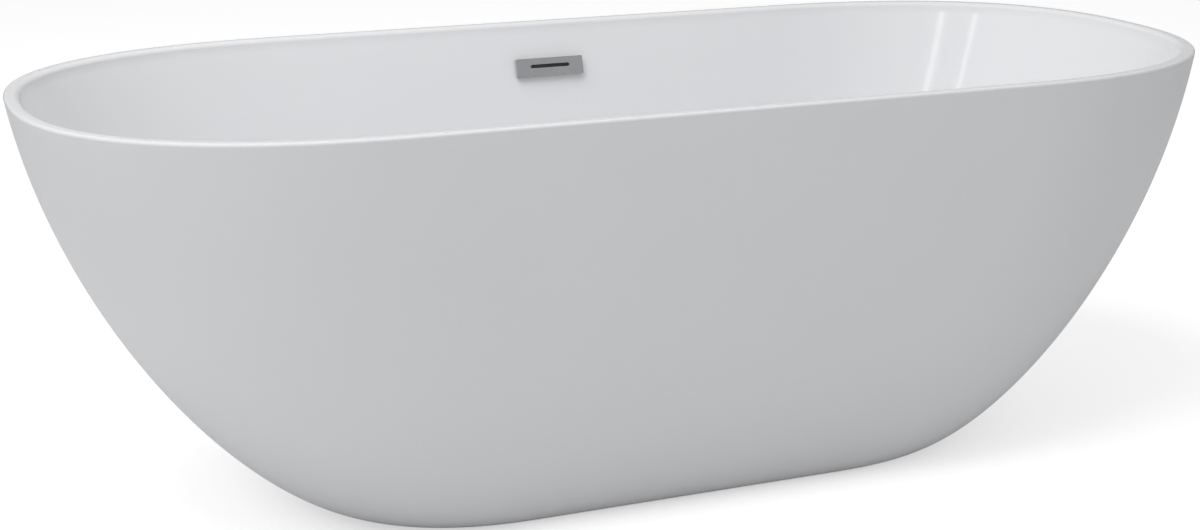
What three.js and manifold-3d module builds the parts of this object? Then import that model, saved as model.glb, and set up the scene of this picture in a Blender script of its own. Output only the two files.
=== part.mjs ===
// Freestanding double-ended bathtub, built as separate pieces in millimetres, +Z up.
// The origin is on the floor under the middle of the tub; +X runs along its length.
// The overflow is in the long wall at +Y, and the waste is in the middle of the basin floor.
import * as THREE from 'three';
import { mergeVertices } from 'three/addons/utils/BufferGeometryUtils.js';
import Module from 'manifold-3d';

const wasm = await Module();
wasm.setup();

// ---- overall size ----
const length = 1700;
const width = 750;
const height = 580;

// ---- fits shared by many pieces ----
const gap = 0.3;              // between faces that touch or are bonded
const threadGap = 0.3;        // radial, male thread to female thread
const runningGap = 0.6;       // radial, around a piece that slides or turns

// ---- facets ----
const wideSides = 24;         // round pieces of the waste, about its centre line
const footSides = 16;         // feet and spindles
const smallSides = 10;        // screws and small holes
const ballSteps = 4;          // along the foot's ball and socket

// ---- plan outline, the same at every height ----
const straightShare = 0.47;   // half of the straight stretch over half of the length
const endExponent = 2.4;      // superellipse exponent of the rounded ends
const arcSteps = 8;           // steps in each quarter of a ring
const straightSteps = 4;      // steps along each straight side

// ---- skirt (outer shell) profile: insets from the rim at four control heights ----
const skirtBottomGap = 2;
const skirtLowHeight = 7;
const skirtBulgeDrop = 325;   // below the top of the rim
const skirtBulgeInset = { x: 52, y: 15 };
const skirtLowInset = { x: 290, y: 109 };
const skirtBottomInset = { x: 395, y: 167 };
const skirtWall = 5;
const skirtRings = 9;

// ---- basin (inner shell) profile ----
const rimWidth = 20;
const rimFlange = 6;
const rimEdgeRadius = 4;
const rimInnerRadius = 8;
const basinWall = 5;
const floorHeight = 140;      // basin floor at the foot of the walls
const floorFall = 2;          // fall of the floor towards the waste
const basinBackDrop = 250;    // below the top of the rim
const basinLowRise = 10;
const basinBackInset = { x: 110, y: 84 };
const basinLowInset = { x: 230, y: 115 };
const basinFloorInset = { x: 400, y: 205 };
const basinRings = 9;

// ---- rim bond and floor board ----
const bondDepth = 14;
const bondClearance = 1;
const boardThickness = 12;
const boardInset = 18;        // inside the flat of the basin floor

// ---- steel frame ----
const tubeSize = 25;
const tubeWall = 1.5;
const railInset = 83;         // rail centre line inside the skirt's bottom opening, across
const footInset = 125;        // foot centre inside the skirt's bottom opening, along
const railOverhang = 60;      // rail beyond the foot
const innerCrossX = 105;      // cross members either side of the waste
const endCrossReach = 35;     // end cross members, beyond the feet
const boardScrewInset = 60;   // end screws, inside the feet, where the board still covers the rail
const boardScrewRadius = 2.1;
const boardScrewHead = 4.5;
const boardScrewHeadHeight = 3;
const boardScrewBite = 8;
const boardScrewHole = boardScrewRadius + 0.5;
const boardScrewChamfer = 1;

// ---- levelling feet ----
const spindleRadius = 5.9;    // M12
const nutHeight = 10;
const nutFlats = 19;
const spindleReach = 11;      // inside the rail at rest
const soleThickness = 2;
const padRadius = 25;
const padRim = 4;
const padNeckRadius = 10;
const padHeight = 16;
const ballRadius = 6;
const ballHeight = 12;
const ballNeck = 4.2;
const spindleHexFlats = 14;
const spindleHexHeight = 6;
const spindleHexLift = 2;     // above the pad
const spindleChamfer = 1;
const soleTaper = 1;

// ---- waste ----
const tailRadius = 23.9;
const tailWall = 3.4;
const tailBore = tailRadius - tailWall;
const tailLength = 54;
const wasteHoleRadius = tailRadius + 2.1;
const flangeRadius = tailRadius + 9.1;
const flangeThickness = 2;
const recessDepth = 4;
const recessFloorRadius = flangeRadius + 2;
const recessRimRadius = recessFloorRadius + 3;
const sealThickness = 2;
const seatRadius = tailBore + 6.5;
const seatDepth = 5.3;
const flangeEdge = { x: 1.2, z: 0.8 };
const bodyCollar = flangeRadius + 1;
const bodyCollarThickness = 4;
const bodyWall = 3;
const bodyRadius = tailRadius + threadGap + bodyWall + 2.8;
const bodyNeckDepth = 12;     // thread of the tail in the body
const bodyNeckTaper = 3;
const bodyFoot = 3;
const bodyFloor = 58;
const boardWasteRadius = bodyCollar + 12;
const outletRadius = 19;
const outletWall = 2.5;
const outletLength = 14;
const outletNutHeight = 13;
const outletNutWall = 4;
const outletNutLip = 3;
const tailpieceRadius = outletRadius - 3;
const tailpieceWall = 1.8;
const tailpieceEnd = 20;
const tailpieceCollar = 3;
const portHeadroom = 4.6;     // between the hose and the heads of the board screws
const portReach = 84;

// ---- plug ----
const capRadius = flangeRadius - 2;
const capThickness = 4.5;
const capBossRadius = 7;
const capBossDepth = 5.4;
const capSkirt = { lip: 1.6, shoulder: 3, inset: 2 };
const capCrownShare = 0.6;
const capCrownFall = 0.4;
const capRoof = 2;            // over the end of the stem
const stemRadius = 3.5;
const barrelRadius = 8.6;
const barrelBore = barrelRadius - 1.4;
const collarRadius = barrelBore - 0.8;
const barrelHeight = 44;
const barrelChamfer = 0.6;
const barrelLip = 2;
const barrelBase = 2;
const barrelHexFlats = 20;
const barrelHexHeight = 4;
const crossHeight = 6;        // cross of the waste flange, which carries the cartridge
const crossSpoke = 3;
const crossBoss = barrelRadius + 2.4;
const stemLift = 10;          // foot of the stem above the barrel's floor
const collarThickness = 2;
const collarSpare = 1;        // left between collar and lip at the top of the travel
const springRadius = collarRadius - 1.2;
const springWire = 0.5;
const springTurns = 6;
const springStepsPerTurn = 9;
const plugTravel = 9;
const plugSealThickness = 4;
const plugSealSink = 0.2;     // below the top of the waste flange
const plugSealClearance = 1.0;
const plugSealChamfer = 4;

// ---- overflow ----
const overflowDrop = 68.5;    // below the top of the rim
const coverWidth = 110;
const coverHeight = 28;
const coverDepth = 8;
const coverWall = 1.6;
const coverCorner = 1.6;
const coverInnerCorner = 0.6;
const slotWidth = 64;
const slotHeight = 5.4;
const slotLift = 1.3;
const wallSlotWidth = 70;
const wallSlotHeight = 12;
const overflowScrewX = 44;
const overflowScrewRadius = 2.4;
const overflowScrewHole = overflowScrewRadius + runningGap;
const overflowScrewHead = { radius: 4.6, crown: 3.6, height: 1.6, edge: 0.8 };
const overflowScrewBite = 6;
const overflowCorner = 4;
const wallCutReach = 10;      // a cut through the wall, on each side of it
const retainerWidth = coverWidth - 9;
const retainerHeight = coverHeight - 8;
const retainerThickness = 2;
const overflowGasket = 1.5;
const overflowFlange = 4;
const screwBossRadius = 5.5;
const screwBossLength = 8;
const chamberDepth = 18;
const chamberWall = 2;
const chamberWidth = wallSlotWidth + 2 * (chamberWall + 1);
const chamberHeight = retainerHeight - 2;
const chamberInnerCorner = 3;
const gasketInset = 1;        // each end, inside the retainer
const spigotRadius = 9.5;
const spigotWall = 1.8;
const spigotLength = 22;
const spigotOffset = 20;

// ---- overflow hose ----
const hoseWall = 2;
const hoseRadius = spigotRadius + hoseWall + 1;
const hoseSides = 8;
const hoseSteps = 22;
const hoseGrip = 16;          // length of hose pushed over each spigot
const hoseLead = 8;           // straight run out of each spigot
const hoseGapDrops = [122.22, 218.25, 314.28];   // below the overflow, down the middle of the gap
const hoseBend = { start: 100, forward: 28, rise: 38, forwardLow: 6, riseLow: 4, underRail: 2 };
const clipBand = 1;
const clipWidth = 9;
const clipHousing = { x: 12, y: 5, z: 7 };

// ------------------------------------------------------------------ materials

const finish = (color, roughness, metalness = 0) =>
  new THREE.MeshStandardMaterial({ color, roughness, metalness });

const acrylic = finish(0xf2f3f5, 0.12);
const adhesive = finish(0xd9d5c8, 0.7);
const board = finish(0xb08a5a, 0.85);
const zincSteel = finish(0xa9adb0, 0.45, 0.9);
const screwSteel = finish(0xb5b08a, 0.4, 0.9);
const chrome = finish(0xc9ccd0, 0.08, 1);
const blackPlastic = finish(0x24262a, 0.5);
const greyPlastic = finish(0xd4d6d8, 0.45);
const rubber = finish(0x1c1c1e, 0.85);
const springSteel = finish(0x9a9da0, 0.35, 1);

// ------------------------------------------------------------------ solids

const toSolid = (geometry) => {
  const plain = geometry.index ? geometry.toNonIndexed() : geometry.clone();
  plain.deleteAttribute('normal');
  plain.deleteAttribute('uv');
  const merged = mergeVertices(plain, 1e-4);
  const mesh = new wasm.Mesh({
    numProp: 3,
    vertProperties: new Float32Array(merged.attributes.position.array),
    triVerts: new Uint32Array(merged.index.array),
  });
  mesh.merge();
  return new wasm.Manifold(mesh);
};

const toGeometry = (solid) => {
  const mesh = solid.getMesh();
  const geometry = new THREE.BufferGeometry();
  geometry.setAttribute('position', new THREE.BufferAttribute(mesh.vertProperties, 3));
  geometry.setIndex(new THREE.BufferAttribute(mesh.triVerts, 1));
  return geometry;
};

const cut = (geometry, ...tools) =>
  toGeometry(tools.reduce((solid, tool) => solid.subtract(toSolid(tool)), toSolid(geometry)));

const join = (geometry, ...others) =>
  toGeometry(others.reduce((solid, other) => solid.add(toSolid(other)), toSolid(geometry)));

// Turns a closed surface right side out.
const facingOut = (geometry) => {
  const position = geometry.attributes.position;
  const index = geometry.index.array;
  const corner = [new THREE.Vector3(), new THREE.Vector3(), new THREE.Vector3()];
  let volume = 0;
  for (let i = 0; i < index.length; i += 3) {
    corner.forEach((point, k) => point.fromBufferAttribute(position, index[i + k]));
    volume += corner[0].dot(corner[1].clone().cross(corner[2]));
  }
  if (volume < 0) {
    for (let i = 0; i < index.length; i += 3) {
      [index[i + 1], index[i + 2]] = [index[i + 2], index[i + 1]];
    }
  }
  return geometry;
};

// A profile of [radius, z] points turned about the Z axis.
const turned = (profile, segments = wideSides) => {
  const points = profile.map(([radius, z]) => new THREE.Vector2(radius, z));
  const onAxis = profile[0][0] === 0 && profile.at(-1)[0] === 0;
  if (!onAxis) {
    points.push(points[0].clone());
  }
  const lathe = new THREE.LatheGeometry(points, segments);
  lathe.rotateX(Math.PI / 2);
  lathe.deleteAttribute('normal');
  lathe.deleteAttribute('uv');
  return facingOut(mergeVertices(lathe, 1e-4));
};

const rod = (radius, low, high, segments = wideSides) =>
  turned([[0, low], [radius, low], [radius, high], [0, high]], segments);

const tubePiece = (outer, inner, low, high, segments = wideSides) =>
  turned([[inner, low], [outer, low], [outer, high], [inner, high]], segments);

const block = (x, y, z, centre) => {
  const box = new THREE.BoxGeometry(x, y, z);
  box.translate(...centre);
  return box;
};

// A hexagonal nut on the Z axis, with its bore.
const hexNut = (flats, bore, low, high, segments = footSides / 2) => {
  const radius = flats / Math.sqrt(3);
  const shape = new THREE.Shape();
  for (let i = 0; i < 6; i += 1) {
    const angle = i * Math.PI / 3;
    shape[i ? 'lineTo' : 'moveTo'](radius * Math.cos(angle), radius * Math.sin(angle));
  }
  shape.closePath();
  if (bore) {
    const hole = new THREE.Path();
    hole.absarc(0, 0, bore, 0, Math.PI * 2, true);
    shape.holes.push(hole);
  }
  const nut = new THREE.ExtrudeGeometry(shape, {
    depth: high - low,
    bevelEnabled: false,
    curveSegments: segments,
  });
  nut.translate(0, 0, low);
  return nut;
};

// An outline drawn in X and Z, extruded along +Y from y = low to y = high.
const plateXZ = (shape, low, high, curveSegments = 3) => {
  const plate = new THREE.ExtrudeGeometry(shape, {
    depth: high - low,
    bevelEnabled: false,
    curveSegments,
  });
  plate.rotateX(Math.PI / 2);
  plate.translate(0, high, 0);
  return plate;
};

const roundedBox = (w, h, radius, centreZ = 0, outline = new THREE.Shape()) => {
  const right = w / 2;
  const top = centreZ + h / 2;
  const bottom = centreZ - h / 2;
  outline.moveTo(-right + radius, bottom);
  outline.lineTo(right - radius, bottom);
  outline.absarc(right - radius, bottom + radius, radius, -Math.PI / 2, 0);
  outline.lineTo(right, top - radius);
  outline.absarc(right - radius, top - radius, radius, 0, Math.PI / 2);
  outline.lineTo(-right + radius, top);
  outline.absarc(-right + radius, top - radius, radius, Math.PI / 2, Math.PI);
  outline.lineTo(-right, bottom + radius);
  outline.absarc(-right + radius, bottom + radius, radius, Math.PI, Math.PI * 1.5);
  return outline;
};

const circle = (x, z, radius) => {
  const hole = new THREE.Path();
  hole.absarc(x, z, radius, 0, Math.PI * 2);
  return hole;
};

// ------------------------------------------------------------------ tub surfaces

// Unit outline as [x, y] pairs: rounded ends joined by straight sides.
const outline = (() => {
  const points = [];
  const power = 2 / endExponent;
  const end = (angle) => {
    const c = Math.cos(angle);
    const s = Math.sin(angle);
    return [
      (1 - straightShare) * Math.sign(c) * Math.abs(c) ** power,
      Math.sign(s) * Math.abs(s) ** power,
    ];
  };
  for (const side of [1, -1]) {
    for (let i = -arcSteps; i <= arcSteps; i += 1) {
      const [x, y] = end(i / arcSteps * Math.PI / 2);
      points.push([side * (straightShare + Math.abs(x)), side * y]);
    }
    for (let i = 1; i < straightSteps; i += 1) {
      points.push([side * straightShare * (1 - 2 * i / straightSteps), side]);
    }
  }
  return points;
})();

const ovalRing = (x, y, z) => outline.map(([u, v]) => [u * x, v * y, z]);

const roundRing = (radius, z) => outline.map(([u, v]) => {
  const angle = Math.atan2(v, u);
  return [radius * Math.cos(angle), radius * Math.sin(angle), z];
});

// Skins a list of rings; the last ring joins the first, so the section is closed.
const loft = (rings) => {
  const count = rings[0].length;
  const geometry = new THREE.BufferGeometry();
  const index = [];
  rings.forEach((_, i) => {
    const next = (i + 1) % rings.length;
    for (let j = 0; j < count; j += 1) {
      const k = (j + 1) % count;
      const [a, b, c, d] = [i * count + j, i * count + k, next * count + k, next * count + j];
      index.push(a, b, c, a, c, d);
    }
  });
  geometry.setAttribute('position', new THREE.Float32BufferAttribute(rings.flat(2), 3));
  geometry.setIndex(index);
  return facingOut(geometry);
};

const bezier = (p, u) =>
  p[0] * (1 - u) ** 3 + 3 * p[1] * u * (1 - u) ** 2 + 3 * p[2] * u * u * (1 - u) + p[3] * u ** 3;

// A wall surface: four control values each for half-length x, half-width y and height z.
const wallSurface = (x, y, z) => {
  const at = (u) => ({ x: bezier(x, u), y: bezier(y, u), z: bezier(z, u) });
  const param = (level) => {
    let low = 0;
    let high = 1;
    for (let i = 0; i < 40; i += 1) {
      const middle = (low + high) / 2;
      [low, high] = at(middle).z > level ? [middle, high] : [low, middle];
    }
    return (low + high) / 2;
  };
  // A step of the wall's thickness along its mean slope; side +1 goes towards the axis.
  const offset = (u, thickness, side) => {
    const du = 1e-3;
    const a = at(Math.max(u - du, 0));
    const b = at(Math.min(u + du, 1));
    const run = (b.x + b.y - a.x - a.y) / 2;
    const rise = b.z - a.z;
    const size = Math.hypot(run, rise);
    const point = at(u);
    const inward = side * thickness * rise / size;
    return { x: point.x + inward, y: point.y + inward, z: point.z - side * thickness * run / size };
  };
  return { at, param, offset };
};

const skirtSurface = wallSurface(
  [0, skirtBulgeInset.x, skirtLowInset.x, skirtBottomInset.x].map((inset) => length / 2 - inset),
  [0, skirtBulgeInset.y, skirtLowInset.y, skirtBottomInset.y].map((inset) => width / 2 - inset),
  [height - rimEdgeRadius, height - skirtBulgeDrop, skirtLowHeight, skirtBottomGap],
);

const insetsX = [0, basinBackInset.x, basinLowInset.x, basinFloorInset.x];
const insetsY = [0, basinBackInset.y, basinLowInset.y, basinFloorInset.y];
const basinSurface = wallSurface(
  insetsX.map((inset) => length / 2 - rimWidth - inset),
  insetsY.map((inset) => width / 2 - rimWidth - inset),
  [height - rimInnerRadius, height - basinBackDrop, floorHeight + basinLowRise, floorHeight],
);

const skirtTop = height - rimFlange - gap;
const flangeUnderside = height - rimFlange;
const ringOf = ({ x, y, z }) => ovalRing(x, y, z);

const buildSkirt = () => {
  const rings = [];
  const first = skirtSurface.param(skirtTop);
  const uAt = (i) => first + (1 - first) * i / skirtRings;
  for (let i = 0; i <= skirtRings; i += 1) {
    rings.push(ringOf(skirtSurface.at(uAt(i))));
  }
  for (let i = skirtRings; i >= 0; i -= 1) {
    const point = skirtSurface.offset(uAt(i), skirtWall, 1);
    rings.push(ringOf(i ? point : { ...point, z: skirtTop }));
  }
  return loft(rings);
};

const floorCentre = floorHeight - floorFall;
const recessFloor = floorCentre - recessDepth;
const recessBack = recessFloor - basinWall;

const buildBasin = () => {
  const rings = [
    roundRing(wasteHoleRadius, recessFloor),
    roundRing(recessFloorRadius, recessFloor),
    roundRing(recessRimRadius, floorCentre),
  ];
  for (let i = basinRings; i > 0; i -= 1) {
    rings.push(ringOf(basinSurface.at(i / basinRings)));
  }
  const rimSteps = 3;
  for (let i = 0; i <= rimSteps; i += 1) {
    const angle = i / rimSteps * Math.PI / 2;
    const inset = rimWidth - rimInnerRadius * (1 - Math.cos(angle));
    const z = height - rimInnerRadius * (1 - Math.sin(angle));
    rings.push(ovalRing(length / 2 - inset, width / 2 - inset, z));
  }
  for (let i = rimSteps; i >= 0; i -= 1) {
    const angle = i / rimSteps * Math.PI / 2;
    const z = height - rimEdgeRadius * (1 - Math.sin(angle));
    const face = skirtSurface.at(skirtSurface.param(z));
    const inset = rimEdgeRadius * (1 - Math.cos(angle));
    rings.push(ovalRing(face.x - inset, face.y - inset, z));
  }
  rings.push(ringOf(skirtSurface.at(skirtSurface.param(flangeUnderside))));
  const back = basinSurface.offset(0, basinWall, -1);
  rings.push(ringOf({ ...back, z: flangeUnderside }));
  for (let i = 1; i <= basinRings; i += 1) {
    rings.push(ringOf(basinSurface.offset(i / basinRings, basinWall, -1)));
  }
  rings.push(roundRing(recessRimRadius + basinWall, floorCentre - basinWall));
  rings.push(roundRing(recessRimRadius, recessBack));
  rings.push(roundRing(wasteHoleRadius, recessBack));
  return loft(rings);
};

const buildRimBond = () => {
  const top = flangeUnderside - gap;
  const low = top - bondDepth;
  const outside = (z) => skirtSurface.offset(skirtSurface.param(z), skirtWall + bondClearance, 1);
  const inside = (z) => basinSurface.offset(basinSurface.param(z), basinWall + bondClearance, -1);
  const rings = [];
  for (const z of [top, low]) {
    const { x, y } = outside(Math.min(z, skirtTop));
    rings.push(ovalRing(x, y, z));
  }
  for (const z of [low, top]) {
    const { x, y } = inside(z);
    rings.push(ovalRing(x, y, z));
  }
  return loft(rings);
};

// ------------------------------------------------------------------ board and frame

const boardTop = floorCentre - basinWall - gap;
const boardBottom = boardTop - boardThickness;
const tubeTop = boardBottom - gap;
const tubeBottom = tubeTop - tubeSize;
const railY = width / 2 - skirtBottomInset.y - railInset;
const footX = length / 2 - skirtBottomInset.x - footInset;
const railLength = 2 * (footX + railOverhang);
const boardScrewX = [-(footX - boardScrewInset), 0, footX - boardScrewInset];

const boardScrewPlaces = [];
for (const side of [-1, 1]) {
  boardScrewX.forEach((x) => boardScrewPlaces.push({ x, y: side * railY }));
}

const buildBoard = () => {
  const x = length / 2 - rimWidth - basinFloorInset.x - boardInset;
  const y = width / 2 - rimWidth - basinFloorInset.y - boardInset / 2;
  const plain = loft([
    ovalRing(x, y, boardTop),
    roundRing(boardWasteRadius, boardTop),
    roundRing(boardWasteRadius, boardBottom),
    ovalRing(x, y, boardBottom),
  ]);
  const pilotTop = boardBottom + boardScrewBite + 1;
  const pilots = boardScrewPlaces.map((place) => {
    const hole = rod(boardScrewRadius + threadGap, boardBottom - 1, pilotTop, smallSides);
    hole.translate(place.x, place.y, 0);
    return hole;
  });
  return cut(plain, ...pilots);
};

// A square tube of the given length along X, open at both ends, its middle at the origin.
const squareTube = (tubeLength) => {
  const shape = new THREE.Shape();
  const half = tubeSize / 2;
  const bore = half - tubeWall;
  const square = (path, size) => {
    path.moveTo(-size, -size);
    path.lineTo(size, -size);
    path.lineTo(size, size);
    path.lineTo(-size, size);
    path.closePath();
    return path;
  };
  square(shape, half);
  shape.holes.push(square(new THREE.Path(), bore));
  const tube = new THREE.ExtrudeGeometry(shape, { depth: tubeLength, bevelEnabled: false });
  tube.translate(0, 0, -tubeLength / 2);
  tube.rotateY(Math.PI / 2);
  return tube;
};

const tubeMiddle = (tubeTop + tubeBottom) / 2;
const boardScrewHeadLow = tubeBottom - gap - boardScrewHeadHeight;
const portHeight = boardScrewHeadLow - portHeadroom - hoseRadius;

const buildRail = (side) => {
  const tube = squareTube(railLength);
  tube.translate(0, side * railY, tubeMiddle);
  const screwHoles = boardScrewX.map((x) => {
    const hole = rod(boardScrewHole, tubeBottom - 1, tubeTop + 1, smallSides);
    hole.translate(x, side * railY, 0);
    return hole;
  });
  const spindleHoles = [-footX, footX].map((x) => {
    const hole = rod(spindleRadius + runningGap, tubeBottom - 1, tubeBottom + tubeWall + 1, footSides);
    hole.translate(x, side * railY, 0);
    return hole;
  });
  return cut(tube, ...screwHoles, ...spindleHoles);
};

const buildCrossMember = (x) => {
  const tube = squareTube(2 * railY - tubeSize - 2 * gap);
  tube.rotateZ(Math.PI / 2);
  tube.translate(x, 0, tubeMiddle);
  return tube;
};

const buildBoardScrew = () => {
  const headTop = tubeBottom - gap;
  const headLow = boardScrewHeadLow;
  const tip = boardBottom + boardScrewBite;
  return turned([
    [0, headLow],
    [boardScrewHead - boardScrewChamfer, headLow],
    [boardScrewHead, headLow + boardScrewChamfer],
    [boardScrewHead, headTop],
    [boardScrewRadius, headTop],
    [boardScrewRadius, tip - boardScrewRadius],
    [0, tip],
  ], smallSides);
};

// ------------------------------------------------------------------ feet

const weldNutTop = tubeBottom - gap;
const weldNutLow = weldNutTop - nutHeight;
const lockNutTop = weldNutLow - gap;
const lockNutLow = lockNutTop - nutHeight;

const buildFootNut = (low, high) => hexNut(nutFlats, spindleRadius + threadGap, low, high);

const buildSole = () => turned([
  [0, 0],
  [padRadius - 2 * soleTaper, 0],
  [padRadius - soleTaper, soleThickness],
  [0, soleThickness],
], footSides);

const buildPad = () => {
  const low = soleThickness + gap;
  const socket = ballRadius + gap;
  const profile = [[0, low], [padRadius, low], [padRadius, low + padRim], [padNeckRadius, padHeight]];
  const mouth = Math.acos((padHeight - ballHeight) / socket);
  for (let i = 0; i <= ballSteps; i += 1) {
    const angle = mouth + (Math.PI - mouth) * i / ballSteps;
    const radius = i === ballSteps ? 0 : socket * Math.sin(angle);
    profile.push([radius, ballHeight + socket * Math.cos(angle)]);
  }
  return turned(profile, footSides);
};

const buildSpindle = () => {
  const hexLow = padHeight + spindleHexLift;
  const hexTop = hexLow + spindleHexHeight;
  const profile = [[0, ballHeight - ballRadius + gap]];
  const neck = Math.asin(ballNeck / ballRadius);
  const ball = ballRadius - gap;
  for (let i = 1; i <= ballSteps; i += 1) {
    const angle = Math.PI - (Math.PI - neck) * i / ballSteps;
    profile.push([ball * Math.sin(angle), ballHeight + ball * Math.cos(angle)]);
  }
  const top = tubeBottom + spindleReach;
  profile.push([ballNeck, hexLow - gap]);
  profile.push([spindleRadius, hexLow]);
  profile.push([spindleRadius, top - spindleChamfer]);
  profile.push([spindleRadius - spindleChamfer, top]);
  profile.push([0, top]);
  return join(turned(profile, footSides), hexNut(spindleHexFlats, 0, hexLow, hexTop));
};

// ------------------------------------------------------------------ waste

const topSealLow = recessFloor + gap;
const flangeLow = topSealLow + sealThickness + gap;
const flangeTop = flangeLow + flangeThickness;
const tailEnd = flangeTop - tailLength;
const bottomSealTop = recessBack - gap;
const collarTop = bottomSealTop - sealThickness - gap;
const crossLow = tailEnd;
const crossTop = crossLow + crossHeight;
const seatAt = (z) => tailBore + (seatRadius - tailBore) * (z - (flangeTop - seatDepth)) / seatDepth;

const buildDrainFlange = () => {
  const shell = turned([
    [tailBore, tailEnd],
    [tailRadius, tailEnd],
    [tailRadius, flangeLow],
    [flangeRadius, flangeLow],
    [flangeRadius, flangeTop - flangeEdge.z],
    [flangeRadius - flangeEdge.x, flangeTop],
    [seatRadius, flangeTop],
    [tailBore, flangeTop - seatDepth],
  ]);
  const boss = tubePiece(crossBoss, barrelRadius + threadGap, crossLow, crossTop);
  const reach = (tailRadius + tailBore) / 2;
  const start = (crossBoss + barrelRadius) / 2;
  const centre = [(reach + start) / 2, 0, (crossLow + crossTop) / 2];
  const spokes = [0, 1, 2, 3].map((i) => {
    const spoke = block(reach - start, crossSpoke, crossHeight, centre);
    spoke.rotateZ(i * Math.PI / 2);
    return spoke;
  });
  return join(shell, boss, ...spokes);
};

const buildSeal = (inner, outer, low, thickness) =>
  tubePiece(outer, inner, low, low + thickness);

const buildDrainBody = () => {
  const inner = bodyRadius - bodyWall;
  const outletEnd = bodyFloor - outletLength;
  const outletBore = outletRadius - outletWall;
  const neckBore = tailRadius + threadGap;
  const neckEnd = collarTop - bodyNeckDepth;
  const wellTop = neckEnd - bodyNeckTaper;
  const cup = turned([
    [neckBore, collarTop],
    [neckBore, neckEnd],
    [inner, wellTop],
    [inner, bodyFloor + bodyWall],
    [outletBore, bodyFloor + bodyWall],
    [outletBore, outletEnd],
    [outletRadius, outletEnd],
    [outletRadius, bodyFloor],
    [bodyRadius - bodyFoot, bodyFloor],
    [bodyRadius, bodyFloor + bodyFoot],
    [bodyRadius, collarTop - bodyCollarThickness],
    [bodyCollar, collarTop - bodyCollarThickness],
    [bodyCollar, collarTop],
  ]);
  const port = rod(spigotRadius, 0, portReach, footSides);
  port.rotateX(-Math.PI / 2);
  port.translate(0, 0, portHeight);
  const bore = rod(spigotRadius - spigotWall, inner - bodyWall, portReach + 1, footSides);
  bore.rotateX(-Math.PI / 2);
  bore.translate(0, 0, portHeight);
  const well = rod(inner, bodyFloor + bodyWall, wellTop);
  return cut(join(cup, cut(port, well)), bore);
};

const outletTip = bodyFloor - outletLength;

const buildTailpiece = () => {
  const collar = outletRadius - outletWall / 2;
  const top = outletTip - gap;
  const collarFoot = top - tailpieceCollar;
  return turned([
    [tailpieceRadius - tailpieceWall, tailpieceEnd],
    [tailpieceRadius, tailpieceEnd],
    [tailpieceRadius, collarFoot],
    [collar, collarFoot],
    [collar, top],
    [tailpieceRadius - tailpieceWall, top],
  ]);
};

const buildOutletNut = () => {
  const lip = outletTip - tailpieceCollar - gap * 2;
  const low = lip - outletNutLip;
  const top = low + outletNutHeight;
  const outer = outletRadius + outletNutWall;
  return turned([
    [tailpieceRadius + gap, low],
    [outer, low],
    [outer, top],
    [outletRadius + threadGap, top],
    [outletRadius + threadGap, lip],
    [tailpieceRadius + gap, lip],
  ]);
};

// ------------------------------------------------------------------ plug

const capLow = flangeTop + gap;
const capTop = capLow + capThickness;
const bossLow = capLow - capBossDepth;
const barrelLow = crossLow;
const barrelTop = barrelLow + barrelHeight;
const barrelFloor = barrelLow + barrelBase;
const stemCollarTop = barrelTop - barrelLip - plugTravel - collarSpare;
const stemCollarLow = stemCollarTop - collarThickness;
const stemEnd = capTop - capRoof;

const buildCap = () => turned([
  [stemRadius + gap, bossLow],
  [capBossRadius, bossLow],
  [capBossRadius, capLow],
  [capRadius, capLow],
  [capRadius, capLow + capSkirt.lip],
  [capRadius - capSkirt.inset, capLow + capSkirt.shoulder],
  [capRadius * capCrownShare, capTop - capCrownFall],
  [0, capTop],
  [0, stemEnd],
  [stemRadius + gap, stemEnd],
]);

const buildPlugSeal = () => {
  const top = flangeTop - plugSealSink;
  const low = top - plugSealThickness;
  const inner = capBossRadius + gap;
  return turned([
    [inner + plugSealChamfer, low],
    [seatAt(low) - plugSealClearance, low],
    [seatAt(top) - plugSealClearance, top],
    [inner, top],
    [inner, low + plugSealChamfer / 2],
  ]);
};

const buildStem = () => turned([
  [0, barrelFloor + stemLift],
  [stemRadius, barrelFloor + stemLift],
  [stemRadius, stemCollarLow],
  [collarRadius, stemCollarLow],
  [collarRadius, stemCollarTop],
  [stemRadius, stemCollarTop],
  [stemRadius, stemEnd - gap],
  [0, stemEnd - gap],
], footSides);

const buildCartridge = () => {
  const barrel = turned([
    [0, barrelLow],
    [barrelRadius - barrelChamfer, barrelLow],
    [barrelRadius, barrelLow + barrelChamfer],
    [barrelRadius, barrelTop - barrelChamfer],
    [barrelRadius - barrelChamfer, barrelTop],
    [stemRadius + runningGap, barrelTop],
    [stemRadius + runningGap, barrelTop - barrelLip],
    [barrelBore, barrelTop - barrelLip],
    [barrelBore, barrelFloor],
    [0, barrelFloor],
  ], footSides);
  const hexLow = crossTop + gap;
  const hexBore = (barrelBore + barrelRadius) / 2;
  const hex = hexNut(barrelHexFlats, hexBore, hexLow, hexLow + barrelHexHeight);
  return join(barrel, hex);
};

class SpringPath extends THREE.Curve {
  constructor(low, high) {
    super();
    this.low = low;
    this.high = high;
  }

  getPoint(t, target = new THREE.Vector3()) {
    const angle = t * springTurns * Math.PI * 2;
    const z = this.low + (this.high - this.low) * t;
    return target.set(springRadius * Math.cos(angle), springRadius * Math.sin(angle), z);
  }
}

const springLow = barrelFloor + gap + springWire;
const springHigh = stemCollarLow - gap - springWire;

const buildSpring = () => {
  const section = new THREE.Shape();
  section.absarc(0, 0, springWire, 0, Math.PI * 2);
  return new THREE.ExtrudeGeometry(section, {
    steps: springTurns * springStepsPerTurn,
    curveSegments: 2,
    bevelEnabled: false,
    extrudePath: new SpringPath(springLow, springHigh),
  });
};

// ------------------------------------------------------------------ overflow
// Drawn in the wall's own frame: X along the wall, Y out through it, Z up its slope.
// Y = 0 is the basin's inner face.

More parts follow.
